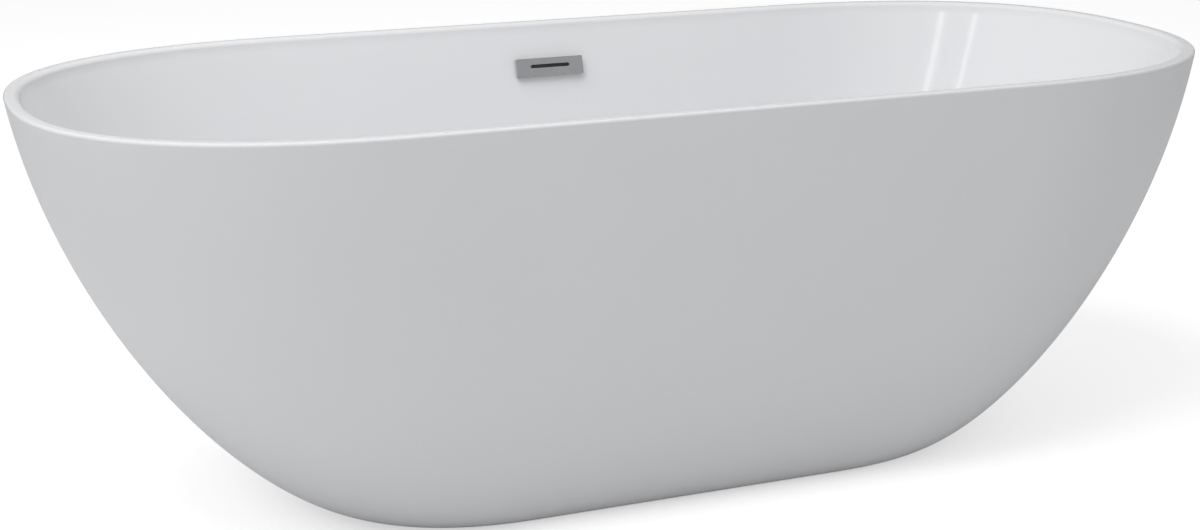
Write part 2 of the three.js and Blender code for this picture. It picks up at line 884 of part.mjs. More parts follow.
const overflowHeight = height - overflowDrop;
const overflowParam = basinSurface.param(overflowHeight);
const overflowPoint = basinSurface.at(overflowParam);
const overflowTilt = (() => {
  const above = basinSurface.at(overflowParam - 0.02);
  const below = basinSurface.at(overflowParam + 0.02);
  return Math.atan2(above.y - below.y, above.z - below.z);
})();
const wallBow = 0.4;          // how far the wall may bow off its tangent plane under a flat piece
const frontGasketBack = -(wallBow + gap);
const retainerBack = frontGasketBack - overflowGasket - gap;
const coverBack = frontGasketBack;
const coverFront = coverBack - coverDepth;
const rearGasketFront = basinWall + wallBow + gap;
const bodyFront = rearGasketFront + overflowGasket + gap;
const bodyBack = bodyFront + chamberDepth;
const spigotEnd = -(chamberHeight / 2 + spigotLength);

const overflowFrame = new THREE.Matrix4()
  .makeRotationX(-overflowTilt)
  .setPosition(0, overflowPoint.y, overflowHeight);

const framePart = (w, h, corner, low, high) => {
  const shape = roundedBox(w, h, corner);
  shape.holes.push(roundedBox(wallSlotWidth, wallSlotHeight, overflowCorner, 0, new THREE.Path()));
  for (const x of [-overflowScrewX, overflowScrewX]) {
    shape.holes.push(circle(x, 0, overflowScrewHole));
  }
  return plateXZ(shape, low, high);
};

const buildCover = () => {
  const tray = plateXZ(roundedBox(coverWidth, coverHeight, coverCorner), coverFront, coverBack);
  const hollow = plateXZ(
    roundedBox(coverWidth - 2 * coverWall, coverHeight - 2 * coverWall, coverInnerCorner),
    coverFront + coverWall,
    coverBack + 1,
    2,
  );
  const slot = plateXZ(
    roundedBox(slotWidth, slotHeight, slotHeight / 2 - 0.01, slotLift),
    coverFront - 1,
    coverFront + coverWall + 1,
    4,
  );
  return cut(tray, hollow, slot);
};

const buildOverflowScrew = () => {
  const headTop = retainerBack - retainerThickness - gap;
  const headLow = headTop - overflowScrewHead.height;
  const tip = bodyFront + overflowFlange + overflowScrewBite;
  const screw = turned([
    [0, headLow],
    [overflowScrewHead.crown, headLow],
    [overflowScrewHead.radius, headTop - overflowScrewHead.edge],
    [overflowScrewHead.radius, headTop],
    [overflowScrewRadius, headTop],
    [overflowScrewRadius, tip],
    [0, tip],
  ], smallSides);
  screw.rotateX(-Math.PI / 2);
  return screw;
};

const buildOverflowBody = () => {
  const flangeBack = bodyFront + overflowFlange;
  const flangeOutline = roundedBox(retainerWidth, retainerHeight, overflowCorner);
  const flange = plateXZ(flangeOutline, bodyFront, flangeBack);
  const chamber = plateXZ(roundedBox(chamberWidth, chamberHeight, overflowCorner), bodyFront, bodyBack);
  const bosses = [-overflowScrewX, overflowScrewX].map((x) => {
    const boss = rod(screwBossRadius, bodyFront, flangeBack + screwBossLength, smallSides);
    boss.rotateX(-Math.PI / 2);
    boss.translate(x, 0, 0);
    return boss;
  });
  const spigot = rod(spigotRadius, spigotEnd, 0, footSides);
  spigot.translate(0, spigotOffset, 0);
  const outside = join(flange, chamber, spigot, ...bosses);
  const room = plateXZ(
    roundedBox(wallSlotWidth, chamberHeight - 2 * chamberWall, chamberInnerCorner),
    bodyFront - 1,
    bodyBack - chamberWall,
  );
  const bore = rod(spigotRadius - spigotWall, spigotEnd - 1, 0, footSides);
  bore.translate(0, spigotOffset, 0);
  const screwHoles = [-overflowScrewX, overflowScrewX].map((x) => {
    const depth = flangeBack + overflowScrewBite + 1;
    const hole = rod(overflowScrewRadius + threadGap, bodyFront - 1, depth, smallSides);
    hole.rotateX(-Math.PI / 2);
    hole.translate(x, 0, 0);
    return hole;
  });
  return cut(outside, room, bore, ...screwHoles);
};

const basinOverflowHoles = () => {
  const through = [-wallCutReach, basinWall + wallCutReach];
  const slot = plateXZ(roundedBox(wallSlotWidth, wallSlotHeight, overflowCorner), ...through);
  const holes = [-overflowScrewX, overflowScrewX].map((x) => {
    const hole = rod(overflowScrewHole, ...through, smallSides);
    hole.rotateX(-Math.PI / 2);
    hole.translate(x, 0, 0);
    return hole;
  });
  return [slot, ...holes].map((tool) => tool.applyMatrix4(overflowFrame));
};

// ------------------------------------------------------------------ overflow hose

const hoseMiddle = (z) => {
  const basinBack = basinSurface.offset(basinSurface.param(z), basinWall, -1).y;
  const skirtInside = skirtSurface.offset(skirtSurface.param(z), skirtWall, 1).y;
  return (basinBack + skirtInside) / 2;
};

const buildHosePath = () => {
  const alongSpigot = [hoseGrip, 0, -hoseLead];
  const points = alongSpigot.map((rise) =>
    new THREE.Vector3(0, spigotOffset, spigotEnd + rise).applyMatrix4(overflowFrame));
  for (const drop of hoseGapDrops) {
    const z = overflowHeight - drop;
    points.push(new THREE.Vector3(0, hoseMiddle(z), z));
  }
  const bend = hoseMiddle(portHeight + hoseBend.start);
  const low = (bend + railY) / 2 - hoseBend.forwardLow;
  points.push(new THREE.Vector3(0, bend - hoseBend.forward, portHeight + hoseBend.rise));
  points.push(new THREE.Vector3(0, low, portHeight + hoseBend.riseLow));
  points.push(new THREE.Vector3(0, railY + hoseBend.underRail, portHeight));
  for (const reach of [hoseLead, 0, -hoseGrip]) {
    points.push(new THREE.Vector3(0, portReach + reach, portHeight));
  }
  return new THREE.CatmullRomCurve3(points, false, 'centripetal');
};

const buildHose = () => {
  const section = new THREE.Shape();
  section.absarc(0, 0, hoseRadius, 0, Math.PI * 2);
  section.holes.push(circle(0, 0, hoseRadius - hoseWall));
  return new THREE.ExtrudeGeometry(section, {
    steps: hoseSteps,
    curveSegments: hoseSides / 2,
    bevelEnabled: false,
    extrudePath: buildHosePath(),
  });
};

// A worm-drive clip on the Z axis, its housing on the +X side.
const buildHoseClip = () => {
  const bore = hoseRadius + gap;
  const band = tubePiece(bore + clipBand, bore, -clipWidth / 2, clipWidth / 2, footSides);
  const side = bore + clipBand / 2 + clipHousing.y / 2;
  const housing = block(clipHousing.y, clipHousing.x, clipHousing.z, [side, 0, 0]);
  return join(band, housing);
};

// ------------------------------------------------------------------ assembly

const bathtub = new THREE.Group();

const add = (name, geometry, material, parent = bathtub, place = [0, 0, 0]) => {
  const mesh = new THREE.Mesh(geometry, material);
  mesh.name = name;
  mesh.position.set(...place);
  parent.add(mesh);
};

add('outer_shell', buildSkirt(), acrylic);
add('inner_basin', cut(buildBasin(), ...basinOverflowHoles()), acrylic);
add('rim_bond', buildRimBond(), adhesive);
add('base_board', buildBoard(), board);

add('frame_rail_front', buildRail(-1), zincSteel);
add('frame_rail_rear', buildRail(1), zincSteel);
const endCrossX = footX + endCrossReach;
const crossPlaces = {
  left_end: -endCrossX,
  left_inner: -innerCrossX,
  right_inner: innerCrossX,
  right_end: endCrossX,
};
Object.entries(crossPlaces).forEach(([name, x]) => {
  add(`frame_cross_${name}`, buildCrossMember(x), zincSteel);
});
boardScrewPlaces.forEach(({ x, y }, i) => {
  add(`board_screw_${i + 1}`, buildBoardScrew(), screwSteel, bathtub, [x, y, 0]);
});

for (const [endName, xSign] of [['left', -1], ['right', 1]]) {
  for (const [sideName, ySign] of [['front', -1], ['rear', 1]]) {
    const foot = new THREE.Group();
    foot.position.set(xSign * footX, ySign * railY, 0);
    bathtub.add(foot);
    const tag = `${sideName}_${endName}`;
    add(`foot_weld_nut_${tag}`, buildFootNut(weldNutLow, weldNutTop), zincSteel, foot);
    add(`foot_lock_nut_${tag}`, buildFootNut(lockNutLow, lockNutTop), screwSteel, foot);
    add(`foot_spindle_${tag}`, buildSpindle(), screwSteel, foot);
    add(`foot_pad_${tag}`, buildPad(), blackPlastic, foot);
    add(`foot_sole_${tag}`, buildSole(), rubber, foot);
  }
}

add('drain_flange', buildDrainFlange(), chrome);
add('drain_top_seal', buildSeal(tailRadius + 1, flangeRadius - 1, topSealLow, sealThickness), rubber);
const bottomSealLow = bottomSealTop - sealThickness;
add('drain_bottom_seal', buildSeal(wasteHoleRadius, bodyCollar, bottomSealLow, sealThickness), rubber);
add('drain_body', buildDrainBody(), greyPlastic);
add('drain_tailpiece', buildTailpiece(), greyPlastic);
add('drain_outlet_nut', buildOutletNut(), blackPlastic);

add('plug_cap', buildCap(), chrome);
add('plug_seal', buildPlugSeal(), rubber);
add('plug_stem', buildStem(), springSteel);
add('plug_cartridge', buildCartridge(), springSteel);
add('plug_spring', buildSpring(), springSteel);

const overflow = new THREE.Group();
overflow.position.set(0, overflowPoint.y, overflowHeight);
overflow.rotation.x = -overflowTilt;
bathtub.add(overflow);
add('overflow_cover', buildCover(), chrome, overflow);
const retainerLow = retainerBack - retainerThickness;
const frontGasketLow = frontGasketBack - overflowGasket;
const rearGasketHigh = rearGasketFront + overflowGasket;
const gasketWidth = retainerWidth - 2 * gasketInset;
const retainer = framePart(retainerWidth, retainerHeight, overflowCorner, retainerLow, retainerBack);
const gasket = (low, high) => framePart(gasketWidth, retainerHeight, overflowCorner, low, high);
add('overflow_retainer', retainer, blackPlastic, overflow);
add('overflow_front_gasket', gasket(frontGasketLow, frontGasketBack), rubber, overflow);
add('overflow_rear_gasket', gasket(rearGasketFront, rearGasketHigh), rubber, overflow);
add('overflow_body', buildOverflowBody(), greyPlastic, overflow);
add('overflow_screw_left', buildOverflowScrew(), screwSteel, overflow, [-overflowScrewX, 0, 0]);
add('overflow_screw_right', buildOverflowScrew(), screwSteel, overflow, [overflowScrewX, 0, 0]);
add('overflow_hose', buildHose(), greyPlastic);
add('hose_clip_upper', buildHoseClip(), zincSteel, overflow, [0, spigotOffset, spigotEnd + hoseGrip / 2]);
const lowerClip = new THREE.Group();
lowerClip.rotation.x = Math.PI / 2;
lowerClip.position.set(0, portReach - hoseGrip / 2, portHeight);
bathtub.add(lowerClip);
add('hose_clip_lower', buildHoseClip(), zincSteel, lowerClip);

export default bathtub;
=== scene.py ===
import math

import bmesh
import bpy
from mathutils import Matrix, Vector


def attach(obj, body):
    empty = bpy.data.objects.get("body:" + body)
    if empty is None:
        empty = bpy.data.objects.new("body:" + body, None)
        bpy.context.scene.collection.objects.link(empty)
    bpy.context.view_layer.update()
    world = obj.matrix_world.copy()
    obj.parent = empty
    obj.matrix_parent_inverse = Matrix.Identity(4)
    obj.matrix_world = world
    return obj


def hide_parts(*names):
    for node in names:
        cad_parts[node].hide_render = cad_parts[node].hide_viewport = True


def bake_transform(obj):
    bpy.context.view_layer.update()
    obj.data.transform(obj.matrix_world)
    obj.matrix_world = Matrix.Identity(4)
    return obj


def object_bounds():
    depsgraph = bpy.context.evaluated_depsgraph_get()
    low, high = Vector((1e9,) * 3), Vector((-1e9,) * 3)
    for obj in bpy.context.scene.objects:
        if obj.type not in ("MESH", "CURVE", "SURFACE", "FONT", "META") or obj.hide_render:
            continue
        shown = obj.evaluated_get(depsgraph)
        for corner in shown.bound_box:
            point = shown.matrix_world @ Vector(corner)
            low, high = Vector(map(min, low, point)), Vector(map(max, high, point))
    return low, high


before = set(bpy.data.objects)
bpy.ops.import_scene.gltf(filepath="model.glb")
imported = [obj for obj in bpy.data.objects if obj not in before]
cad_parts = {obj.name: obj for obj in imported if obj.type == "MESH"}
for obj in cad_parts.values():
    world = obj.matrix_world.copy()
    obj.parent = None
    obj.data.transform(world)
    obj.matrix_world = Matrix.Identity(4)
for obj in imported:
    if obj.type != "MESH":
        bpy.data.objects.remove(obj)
cadLow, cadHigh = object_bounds()
mm = 0.001
fullTurn = 2 * math.pi


# small helpers, used by every piece

def toObjectMode():
    if bpy.context.object and bpy.context.object.mode != "OBJECT":
        bpy.ops.object.mode_set(mode="OBJECT")
    bpy.ops.object.select_all(action="DESELECT")


def editMesh(piece):
    toObjectMode()
    piece.select_set(True)
    bpy.context.view_layer.objects.active = piece
    bpy.ops.object.mode_set(mode="EDIT")
    bpy.ops.mesh.select_mode(type="VERT")
    bpy.ops.mesh.select_all(action="SELECT")


def pick(kind, test):  # selects the verts, edges or faces whose middle passes the test
    bpy.ops.mesh.select_mode(type={"verts": "VERT", "edges": "EDGE", "faces": "FACE"}[kind])
    bpy.ops.mesh.select_all(action="DESELECT")
    cage = bmesh.from_edit_mesh(bpy.context.object.data)
    for part in getattr(cage, kind):
        if kind == "verts":
            middle = part.co
        elif kind == "edges":
            middle = (part.verts[0].co + part.verts[1].co) / 2
        else:
            middle = part.calc_center_median()
        part.select_set(bool(test(middle, part)))
    cage.select_flush_mode()
    bmesh.update_edit_mesh(bpy.context.object.data)


def mergeAndFaceOut():
    bpy.ops.mesh.select_all(action="SELECT")
    bpy.ops.mesh.remove_doubles(threshold=0.01 * mm)
    bpy.ops.mesh.normals_make_consistent(inside=False)


def applyModifier(piece, kind, **settings):
    toObjectMode()
    piece.select_set(True)
    bpy.context.view_layer.objects.active = piece
    modifier = piece.modifiers.new(kind.lower(), kind)
    for name, value in settings.items():
        setattr(modifier, name, value)
    bpy.ops.object.modifier_apply(modifier=modifier.name)


def cutAway(piece, *cutters, operation="DIFFERENCE"):
    for cutter in cutters:
        applyModifier(piece, "BOOLEAN", object=cutter, operation=operation, solver="EXACT")
        bpy.data.objects.remove(cutter)


def startChain(name, points):  # an edge chain in the XZ plane, in edit mode; points are (x, z) in mm
    toObjectMode()
    bpy.ops.mesh.primitive_plane_add(size=1 * mm)
    piece = bpy.context.object
    piece.name = name
    editMesh(piece)
    bpy.ops.mesh.merge(type="CENTER")
    bpy.ops.transform.translate(value=(points[0][0] * mm, 0, points[0][1] * mm))
    for last, point in zip(points, points[1:]):
        step = ((point[0] - last[0]) * mm, 0, (point[1] - last[1]) * mm)
        bpy.ops.mesh.extrude_vertices_move(TRANSFORM_OT_translate={"value": step})
    bpy.ops.mesh.select_all(action="SELECT")
    return piece


def soften(width, angle=30, segments=2):  # rounds the sharp edges of the piece in edit mode
    bpy.ops.mesh.select_mode(type="EDGE")
    bpy.ops.mesh.select_all(action="DESELECT")
    bpy.ops.mesh.edges_select_sharp(sharpness=math.radians(angle))
    bpy.ops.mesh.bevel(offset=width * mm, segments=segments, profile=0.5, clamp_overlap=True)
    mergeAndFaceOut()


def makeTurned(name, profile, edge=0.3, segments=0, bevels=2):  # a profile of (radius, z) in mm turned about Z
    closed = profile[0][0] > 0 or profile[-1][0] > 0
    piece = startChain(name, [*profile, profile[0]] if closed else profile)
    bpy.ops.mesh.spin(steps=segments or (96), angle=fullTurn, center=(0, 0, 0), axis=(0, 0, 1))
    mergeAndFaceOut()
    bpy.ops.mesh.delete_loose()
    bpy.ops.mesh.select_all(action="SELECT")
    if edge:
        soften(edge, segments=bevels)
    return piece


def makeRod(name, radius, low, high, segments=0):  # a plain bar about Z, used to drill and cut
    return makeTurned(name, [(0, low), (radius, low), (radius, high), (0, high)], edge=0, segments=segments)


def closeEnds():
    mergeAndFaceOut()
    bpy.ops.mesh.fill_holes(sides=0)
    mergeAndFaceOut()


def makeThread(name, root, crest, pitch, low, high, segments=0):  # a closed helical ridge on a rod of radius root
    inner = root - 0.3 * (crest - root)
    ridge = [(inner, -0.44), (inner, 0.44), (crest, 0.07), (crest, -0.07)]
    points = [(radius, low + pitch * (share + 0.44)) for radius, share in ridge]
    piece = startChain(name, [*points, points[0]])
    bpy.ops.mesh.remove_doubles(threshold=0.001 * mm)
    applyModifier(piece, "SCREW", angle=fullTurn, screw_offset=pitch * mm, iterations=int((high - low) / pitch) - 1,
                  steps=segments or (40), render_steps=segments or (40))
    editMesh(piece)
    closeEnds()
    return piece


def makeBox(name, size, centre, edge=0.5, along="", segments=2):  # mm; along keeps the bevel to edges along that axis
    toObjectMode()
    bpy.ops.mesh.primitive_cube_add(size=1)
    piece = bpy.context.object
    piece.name = name
    editMesh(piece)
    bpy.ops.transform.resize(value=[side * mm for side in size])
    bpy.ops.transform.translate(value=[place * mm for place in centre])
    if along:
        axis = "XYZ".index(along)
        pick("edges", lambda middle, part: abs((part.verts[0].co - part.verts[1].co)[axis]) > 0.01 * mm)
    bpy.ops.mesh.bevel(offset=edge * mm, segments=segments, profile=0.5)
    mergeAndFaceOut()
    return piece


def makeHex(name, flats, low, high, edge=0.4):  # a hexagonal bar about Z with its corners turned down
    corner = flats / math.sqrt(3)
    toObjectMode()
    bpy.ops.mesh.primitive_cylinder_add(vertices=6, radius=corner * mm, depth=(high - low) * mm,
                                        location=(0, 0, (high + low) / 2 * mm), end_fill_type="NGON")
    piece = bpy.context.object
    piece.name = name
    applyPlace(piece, turn=(0, 0, math.radians(30)))
    editMesh(piece)
    pick("edges", lambda middle, part: abs(part.verts[0].co.z - part.verts[1].co.z) > 0.01 * mm)
    bpy.ops.mesh.bevel(offset=edge * mm, segments=2, profile=0.5)
    flat, fall = flats / 2 * 0.97, (corner - flats / 2 * 0.97) * math.tan(math.radians(30))
    barrel = makeTurned(name + "_barrel", [(0, low), (flat, low), (corner + 0.1, low + fall + 0.1),
                                           (corner + 0.1, high - fall - 0.1), (flat, high), (0, high)], edge=0)
    cutAway(piece, barrel, operation="INTERSECT")
    return piece


def applyPlace(piece, move=None, turn=None):  # turns the piece, moves it, and leaves its object at the origin
    toObjectMode()
    piece.select_set(True)
    bpy.context.view_layer.objects.active = piece
    if turn is not None:
        piece.rotation_euler = turn
    if move is not None:
        piece.location = [place * mm for place in move]
    bpy.ops.object.transform_apply(location=True, rotation=True, scale=True)


def copyOf(piece, name, move=None, turn=None):
    toObjectMode()
    piece.select_set(True)
    bpy.context.view_layer.objects.active = piece
    bpy.ops.object.duplicate(linked=False)
    copied = bpy.context.object
    copied.name = name
    applyPlace(copied, move, turn)
    return copied


def aroundAxis(piece, count, first=0.0):  # copies turned about Z; the piece itself is used up
    copies = [copyOf(piece, piece.name + "_copy", turn=(0, 0, fullTurn * (i + first) / count)) for i in range(count)]
    bpy.data.objects.remove(piece)
    return copies


def joinPieces(piece, *others):
    toObjectMode()
    for other in (piece, *others):
        other.select_set(True)
    bpy.context.view_layer.objects.active = piece
    bpy.ops.object.join()
    return piece


def dress(piece, material, slot, *nodes, smooth=35):
    toObjectMode()
    piece.select_set(True)
    bpy.context.view_layer.objects.active = piece
    bpy.ops.object.shade_smooth_by_angle(angle=math.radians(smooth))
    piece.data.materials.clear()
    piece.data.materials.append(material)
    for node in nodes:
        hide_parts(node)


def finishPiece(piece, material, slot, body, *nodes, smooth=35):
    dress(piece, material, slot, *nodes, smooth=smooth)
    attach(piece, body)


# camera, floor and light

cameraSettings = {
    "place": (-1.0853, -2.5520, 1.0732),
    "aim": (-0.0486, 0.0, 0.28365),
    "lens": 59.86,         # mm, on a sensor 36 mm wide
}

studio = {
    "worldSeen": 1.08,     # how white the backdrop looks
    "worldLight": 0.48,    # how much light it gives
    "floorColour": 0.8,
    "floorSeen": 0.53,     # added to the floor where the camera sees it
    "floorSize": 60.0,
    "softboxes": [         # place, aim, width, height, watts; only the strips show in the gloss
        {"name": "left_softbox", "place": (-3.8, -1.2, 3.6), "aim": (0, 0, 0.4), "size": (2.6, 2.2), "watts": 42},
        {"name": "top_softbox", "place": (-0.9, -0.5, 3.2), "aim": (0.6, 0.1, 0.4), "size": (2.4, 1.6), "watts": 46},
        {"name": "near_strip", "place": (-0.72, -2.12, 2.66), "aim": (0.66, 0.27, 0.51), "size": (0.14, 0.75),
         "watts": 1.3, "inGloss": True},
        {"name": "far_strip", "place": (-1.40, -1.44, 2.75), "aim": (0.70, 0.25, 0.51), "size": (0.1, 0.5),
         "watts": 0.65, "inGloss": True},
    ],
}


def addCamera():
    cameraData = bpy.data.cameras.new("camera")
    cameraData.sensor_width = 36.0
    cameraData.lens = cameraSettings["lens"]
    camera = bpy.data.objects.new("camera", cameraData)
    bpy.context.scene.collection.objects.link(camera)
    camera.location = cameraSettings["place"]
    sight = Vector(cameraSettings["aim"]) - camera.location
    camera.rotation_euler = sight.to_track_quat("-Z", "Y").to_euler()
    bpy.context.scene.camera = camera


def addWorld():
    world = bpy.data.worlds.new("studio")
    bpy.context.scene.world = world
    world.use_nodes = True
    nodes, links = world.node_tree.nodes, world.node_tree.links
    background = nodes["Background"]
    background.inputs["Color"].default_value = (1.0, 1.0, 1.0, 1.0)
    path = nodes.new("ShaderNodeLightPath")
    strength = nodes.new("ShaderNodeMapRange")
    strength.inputs["To Min"].default_value = studio["worldLight"]
    strength.inputs["To Max"].default_value = studio["worldSeen"]
    links.new(path.outputs["Is Camera Ray"], strength.inputs["Value"])
    links.new(strength.outputs["Result"], background.inputs["Strength"])
    bpy.context.scene.view_settings.view_transform = "Standard"


def floorMaterial():
    material = bpy.data.materials.new("studio_floor")
    material.use_nodes = True
    nodes, links = material.node_tree.nodes, material.node_tree.links
    nodes.remove(nodes["Principled BSDF"])
    paint = nodes.new("ShaderNodeBsdfDiffuse")
    paint.inputs["Color"].default_value = (*[studio["floorColour"]] * 3, 1.0)
    glow = nodes.new("ShaderNodeEmission")
    path = nodes.new("ShaderNodeLightPath")
    lift = nodes.new("ShaderNodeMath")
    lift.operation = "MULTIPLY"
    lift.inputs[1].default_value = studio["floorSeen"]
    both = nodes.new("ShaderNodeAddShader")
    clear = nodes.new("ShaderNodeBsdfTransparent")
    side = nodes.new("ShaderNodeNewGeometry")
    oneWay = nodes.new("ShaderNodeMixShader")
    links.new(path.outputs["Is Camera Ray"], lift.inputs[0])
    links.new(lift.outputs["Value"], glow.inputs["Strength"])
    links.new(paint.outputs["BSDF"], both.inputs[0])
    links.new(glow.outputs["Emission"], both.inputs[1])
    links.new(side.outputs["Backfacing"], oneWay.inputs["Fac"])
    links.new(both.outputs["Shader"], oneWay.inputs[1])
    links.new(clear.outputs["BSDF"], oneWay.inputs[2])
    links.new(oneWay.outputs["Shader"], nodes["Material Output"].inputs["Surface"])
    return material


def addFloor():
    toObjectMode()
    bpy.ops.mesh.primitive_plane_add(size=studio["floorSize"])
    floor = bpy.context.object
    floor.name = "studio_floor"
    floor.data.materials.append(floorMaterial())


def addSoftbox(box):
    lightData = bpy.data.lights.new(box["name"], "AREA")
    lightData.shape = "RECTANGLE"
    lightData.size, lightData.size_y = box["size"]
    lightData.energy = box["watts"]
    light = bpy.data.objects.new(box["name"], lightData)
    bpy.context.scene.collection.objects.link(light)
    light.visible_glossy = box.get("inGloss", False)
    light.location = box["place"]
    light.rotation_euler = (Vector(box["aim"]) - light.location).to_track_quat("-Z", "Y").to_euler()


addCamera()
addWorld()
addFloor()
for softbox in studio["softboxes"]:
    addSoftbox(softbox)
print("camera, floor and light are set")


# finishes

def newMaterial(name, colour, roughness, metallic=0.0, **constants):
    material = bpy.data.materials.new(name)
    material.use_nodes = True
    shader = material.node_tree.nodes["Principled BSDF"]
    shader.inputs["Base Color"].default_value = (*colour, 1.0)
    shader.inputs["Roughness"].default_value = roughness
    shader.inputs["Metallic"].default_value = metallic
    for name, value in constants.items():
        shader.inputs[name.replace("_", " ")].default_value = value
    return material


# the two shells

tub = {
    "straightShare": 0.47,       # half of the straight sides over half of the length
    "endExponent": 2.4,          # superellipse exponent of the rounded ends
    "arcSegments": 64,
    "straightSegments": 24,
    "skirtRings": 72,
    "basinRings": 72,
    "wall": 5 * mm,
}

skirt = {                        # inset from the rim at the four control heights
    "height": [0, 0.255, 0.007, 0.002],
    "insetX": [0, 0.052, 0.290, 0.395],
    "insetY": [0, 0.015, 0.109, 0.167],
    "rimEdge": 4 * mm,
    "topGap": 0.02 * mm,
}

basin = {
    "rimWidth": 20 * mm,
    "flange": 6 * mm,
    "rimInner": 8 * mm,
    "rimSteps": 10,
    "height": [0, 0.330, 0.150, 0.140],
    "insetX": [0, 0.110, 0.230, 0.400],
    "insetY": [0, 0.084, 0.115, 0.205],
    "floorFall": 2 * mm,
    "floorSteps": 16,
    "recessDepth": 4 * mm,
    "recessFloor": 35 * mm,
    "recessRim": 38 * mm,
    "wasteHole": 26 * mm,
    "recessSoften": 1.2 * mm,
}

halfLength = (cadHigh.x - cadLow.x) / 2
halfWidth = (cadHigh.y - cadLow.y) / 2
rimTop = cadHigh.z
flangeUnder = rimTop - basin["flange"]


def bezier(points, u):
    v = 1 - u
    return v**3 * points[0] + 3 * u * v * v * points[1] + 3 * u * u * v * points[2] + u**3 * points[3]


def wallCurve(heights, insetX, insetY, startX, startY):
    def at(u):
        x = bezier([startX - inset for inset in insetX], u)
        y = bezier([startY - inset for inset in insetY], u)
        return Vector((x, y, bezier(heights, u)))
    return at


def curveShare(curve, z):  # where along a falling curve it reaches the height z
    low, high = 0.0, 1.0
    for _ in range(40):
        middle = (low + high) / 2
        if curve(middle).z > z:
            low = middle
        else:
            high = middle
    return (low + high) / 2


def curveBack(curve, u, step):  # a point off the curve by one wall, square to its mean slope
    before, after = curve(max(u - 0.001, 0)), curve(min(u + 0.001, 1))
    run = (after.x + after.y - before.x - before.y) / 2
    rise = after.z - before.z
    inward = step * rise / math.hypot(run, rise)
    point = curve(u)
    return Vector((point.x + inward, point.y + inward, point.z - step * run / math.hypot(run, rise)))


skirtCurve = wallCurve([rimTop - skirt["rimEdge"], *skirt["height"][1:]], skirt["insetX"], skirt["insetY"],
                       halfLength, halfWidth)
basinCurve = wallCurve([rimTop - basin["rimInner"], *basin["height"][1:]], basin["insetX"], basin["insetY"],
                       halfLength - basin["rimWidth"], halfWidth - basin["rimWidth"])


def startOutline(name, size):  # the tub's plan outline, in edit mode with its ring selected
    endShare = 1 - tub["straightShare"]
    profile = 2 ** (-2 / tub["endExponent"])
    toObjectMode()
    bpy.ops.mesh.primitive_plane_add(size=2)
    piece = bpy.context.object
    piece.name = name
    editMesh(piece)
    bpy.ops.transform.resize(value=(1 / endShare, 1, 1))
    bpy.ops.mesh.bevel(offset=1, affect="VERTICES", segments=tub["arcSegments"], profile=profile)
    bpy.ops.mesh.remove_doubles(threshold=0.01 * mm)
    bpy.ops.mesh.delete(type="ONLY_FACE")
    pick("edges", lambda middle, edge: edge.calc_length() > tub["straightShare"])
    bpy.ops.mesh.subdivide(number_cuts=tub["straightSegments"] - 1)
    bpy.ops.mesh.select_all(action="SELECT")
    bpy.ops.transform.resize(value=(endShare * size.x, size.y, 1), center_override=(0, 0, 0))
    bpy.ops.transform.translate(value=(0, 0, size.z))
    return piece


def growRing(last, size):  # extrudes the selected ring to a new half-length, half-width and height
    bpy.ops.mesh.extrude_edges_move(TRANSFORM_OT_translate={"value": (0, 0, size.z - last.z)})
    bpy.ops.transform.resize(value=(size.x / last.x, size.y / last.y, 1), center_override=(0, 0, size.z))


def makeSkirt():
    first = curveShare(skirtCurve, flangeUnder - skirt["topGap"])
    shares = [first + (1 - first) * i / tub["skirtRings"] for i in range(tub["skirtRings"] + 1)]
    points = [skirtCurve(share) for share in shares]
    piece = startOutline("skirt_shell", points[0])
    for last, point in zip(points, points[1:]):
        growRing(last, point)
    mergeAndFaceOut()
    applyModifier(piece, "SOLIDIFY", thickness=tub["wall"], offset=-1, use_even_offset=True)
    return piece


def makeBasin():
    ringsBack = tub["basinRings"] // 2
    floorCentre = basin["height"][3] - basin["floorFall"]
    recess = floorCentre - basin["recessDepth"]
    wall = tub["wall"]
    path = [basinCurve(i / tub["basinRings"]) for i in range(tub["basinRings"], 0, -1)]
    for i in range(basin["rimSteps"] + 1):          # inner edge of the rim
        angle = i / basin["rimSteps"] * math.pi / 2
        inset = basin["rimWidth"] - basin["rimInner"] * (1 - math.cos(angle))
        z = rimTop - basin["rimInner"] * (1 - math.sin(angle))
        path.append(Vector((halfLength - inset, halfWidth - inset, z)))
    for i in range(basin["rimSteps"], -1, -1):      # outer edge of the rim
        angle = i / basin["rimSteps"] * math.pi / 2
        z = rimTop - skirt["rimEdge"] * (1 - math.sin(angle))
        face = skirtCurve(curveShare(skirtCurve, z))
        inset = skirt["rimEdge"] * (1 - math.cos(angle))
        path.append(Vector((face.x - inset, face.y - inset, z)))
    path.append(skirtCurve(curveShare(skirtCurve, flangeUnder)))
    back = [curveBack(basinCurve, i / ringsBack, -wall) for i in range(ringsBack + 1)]
    back[0].z = flangeUnder
    path.extend(back)
    piece = startOutline("basin_shell", path[0])
    for last, point in zip(path, path[1:]):
        growRing(last, point)
    growWasteRecess(path[-1], floorCentre - wall, basin["recessRim"] + wall,
                    [(basin["recessRim"], recess - wall), (basin["wasteHole"], recess - wall)])
    firstRing = path[0].z
    pick("edges", lambda middle, edge: edge.is_boundary and abs(middle.z - firstRing) < 0.1 * mm)
    growWasteRecess(path[0], floorCentre, basin["recessRim"],
                    [(basin["recessFloor"], recess), (basin["wasteHole"], recess)])
    pick("edges", lambda middle, edge: edge.is_boundary)
    bpy.ops.mesh.bridge_edge_loops()
    pick("edges", lambda middle, edge: isRingEdge(edge, (basin["recessRim"], basin["recessFloor"],
                                                         basin["wasteHole"]), recess - 1 * mm))
    bpy.ops.mesh.bevel(offset=basin["recessSoften"], segments=4, profile=0.5)
    mergeAndFaceOut()
    return piece


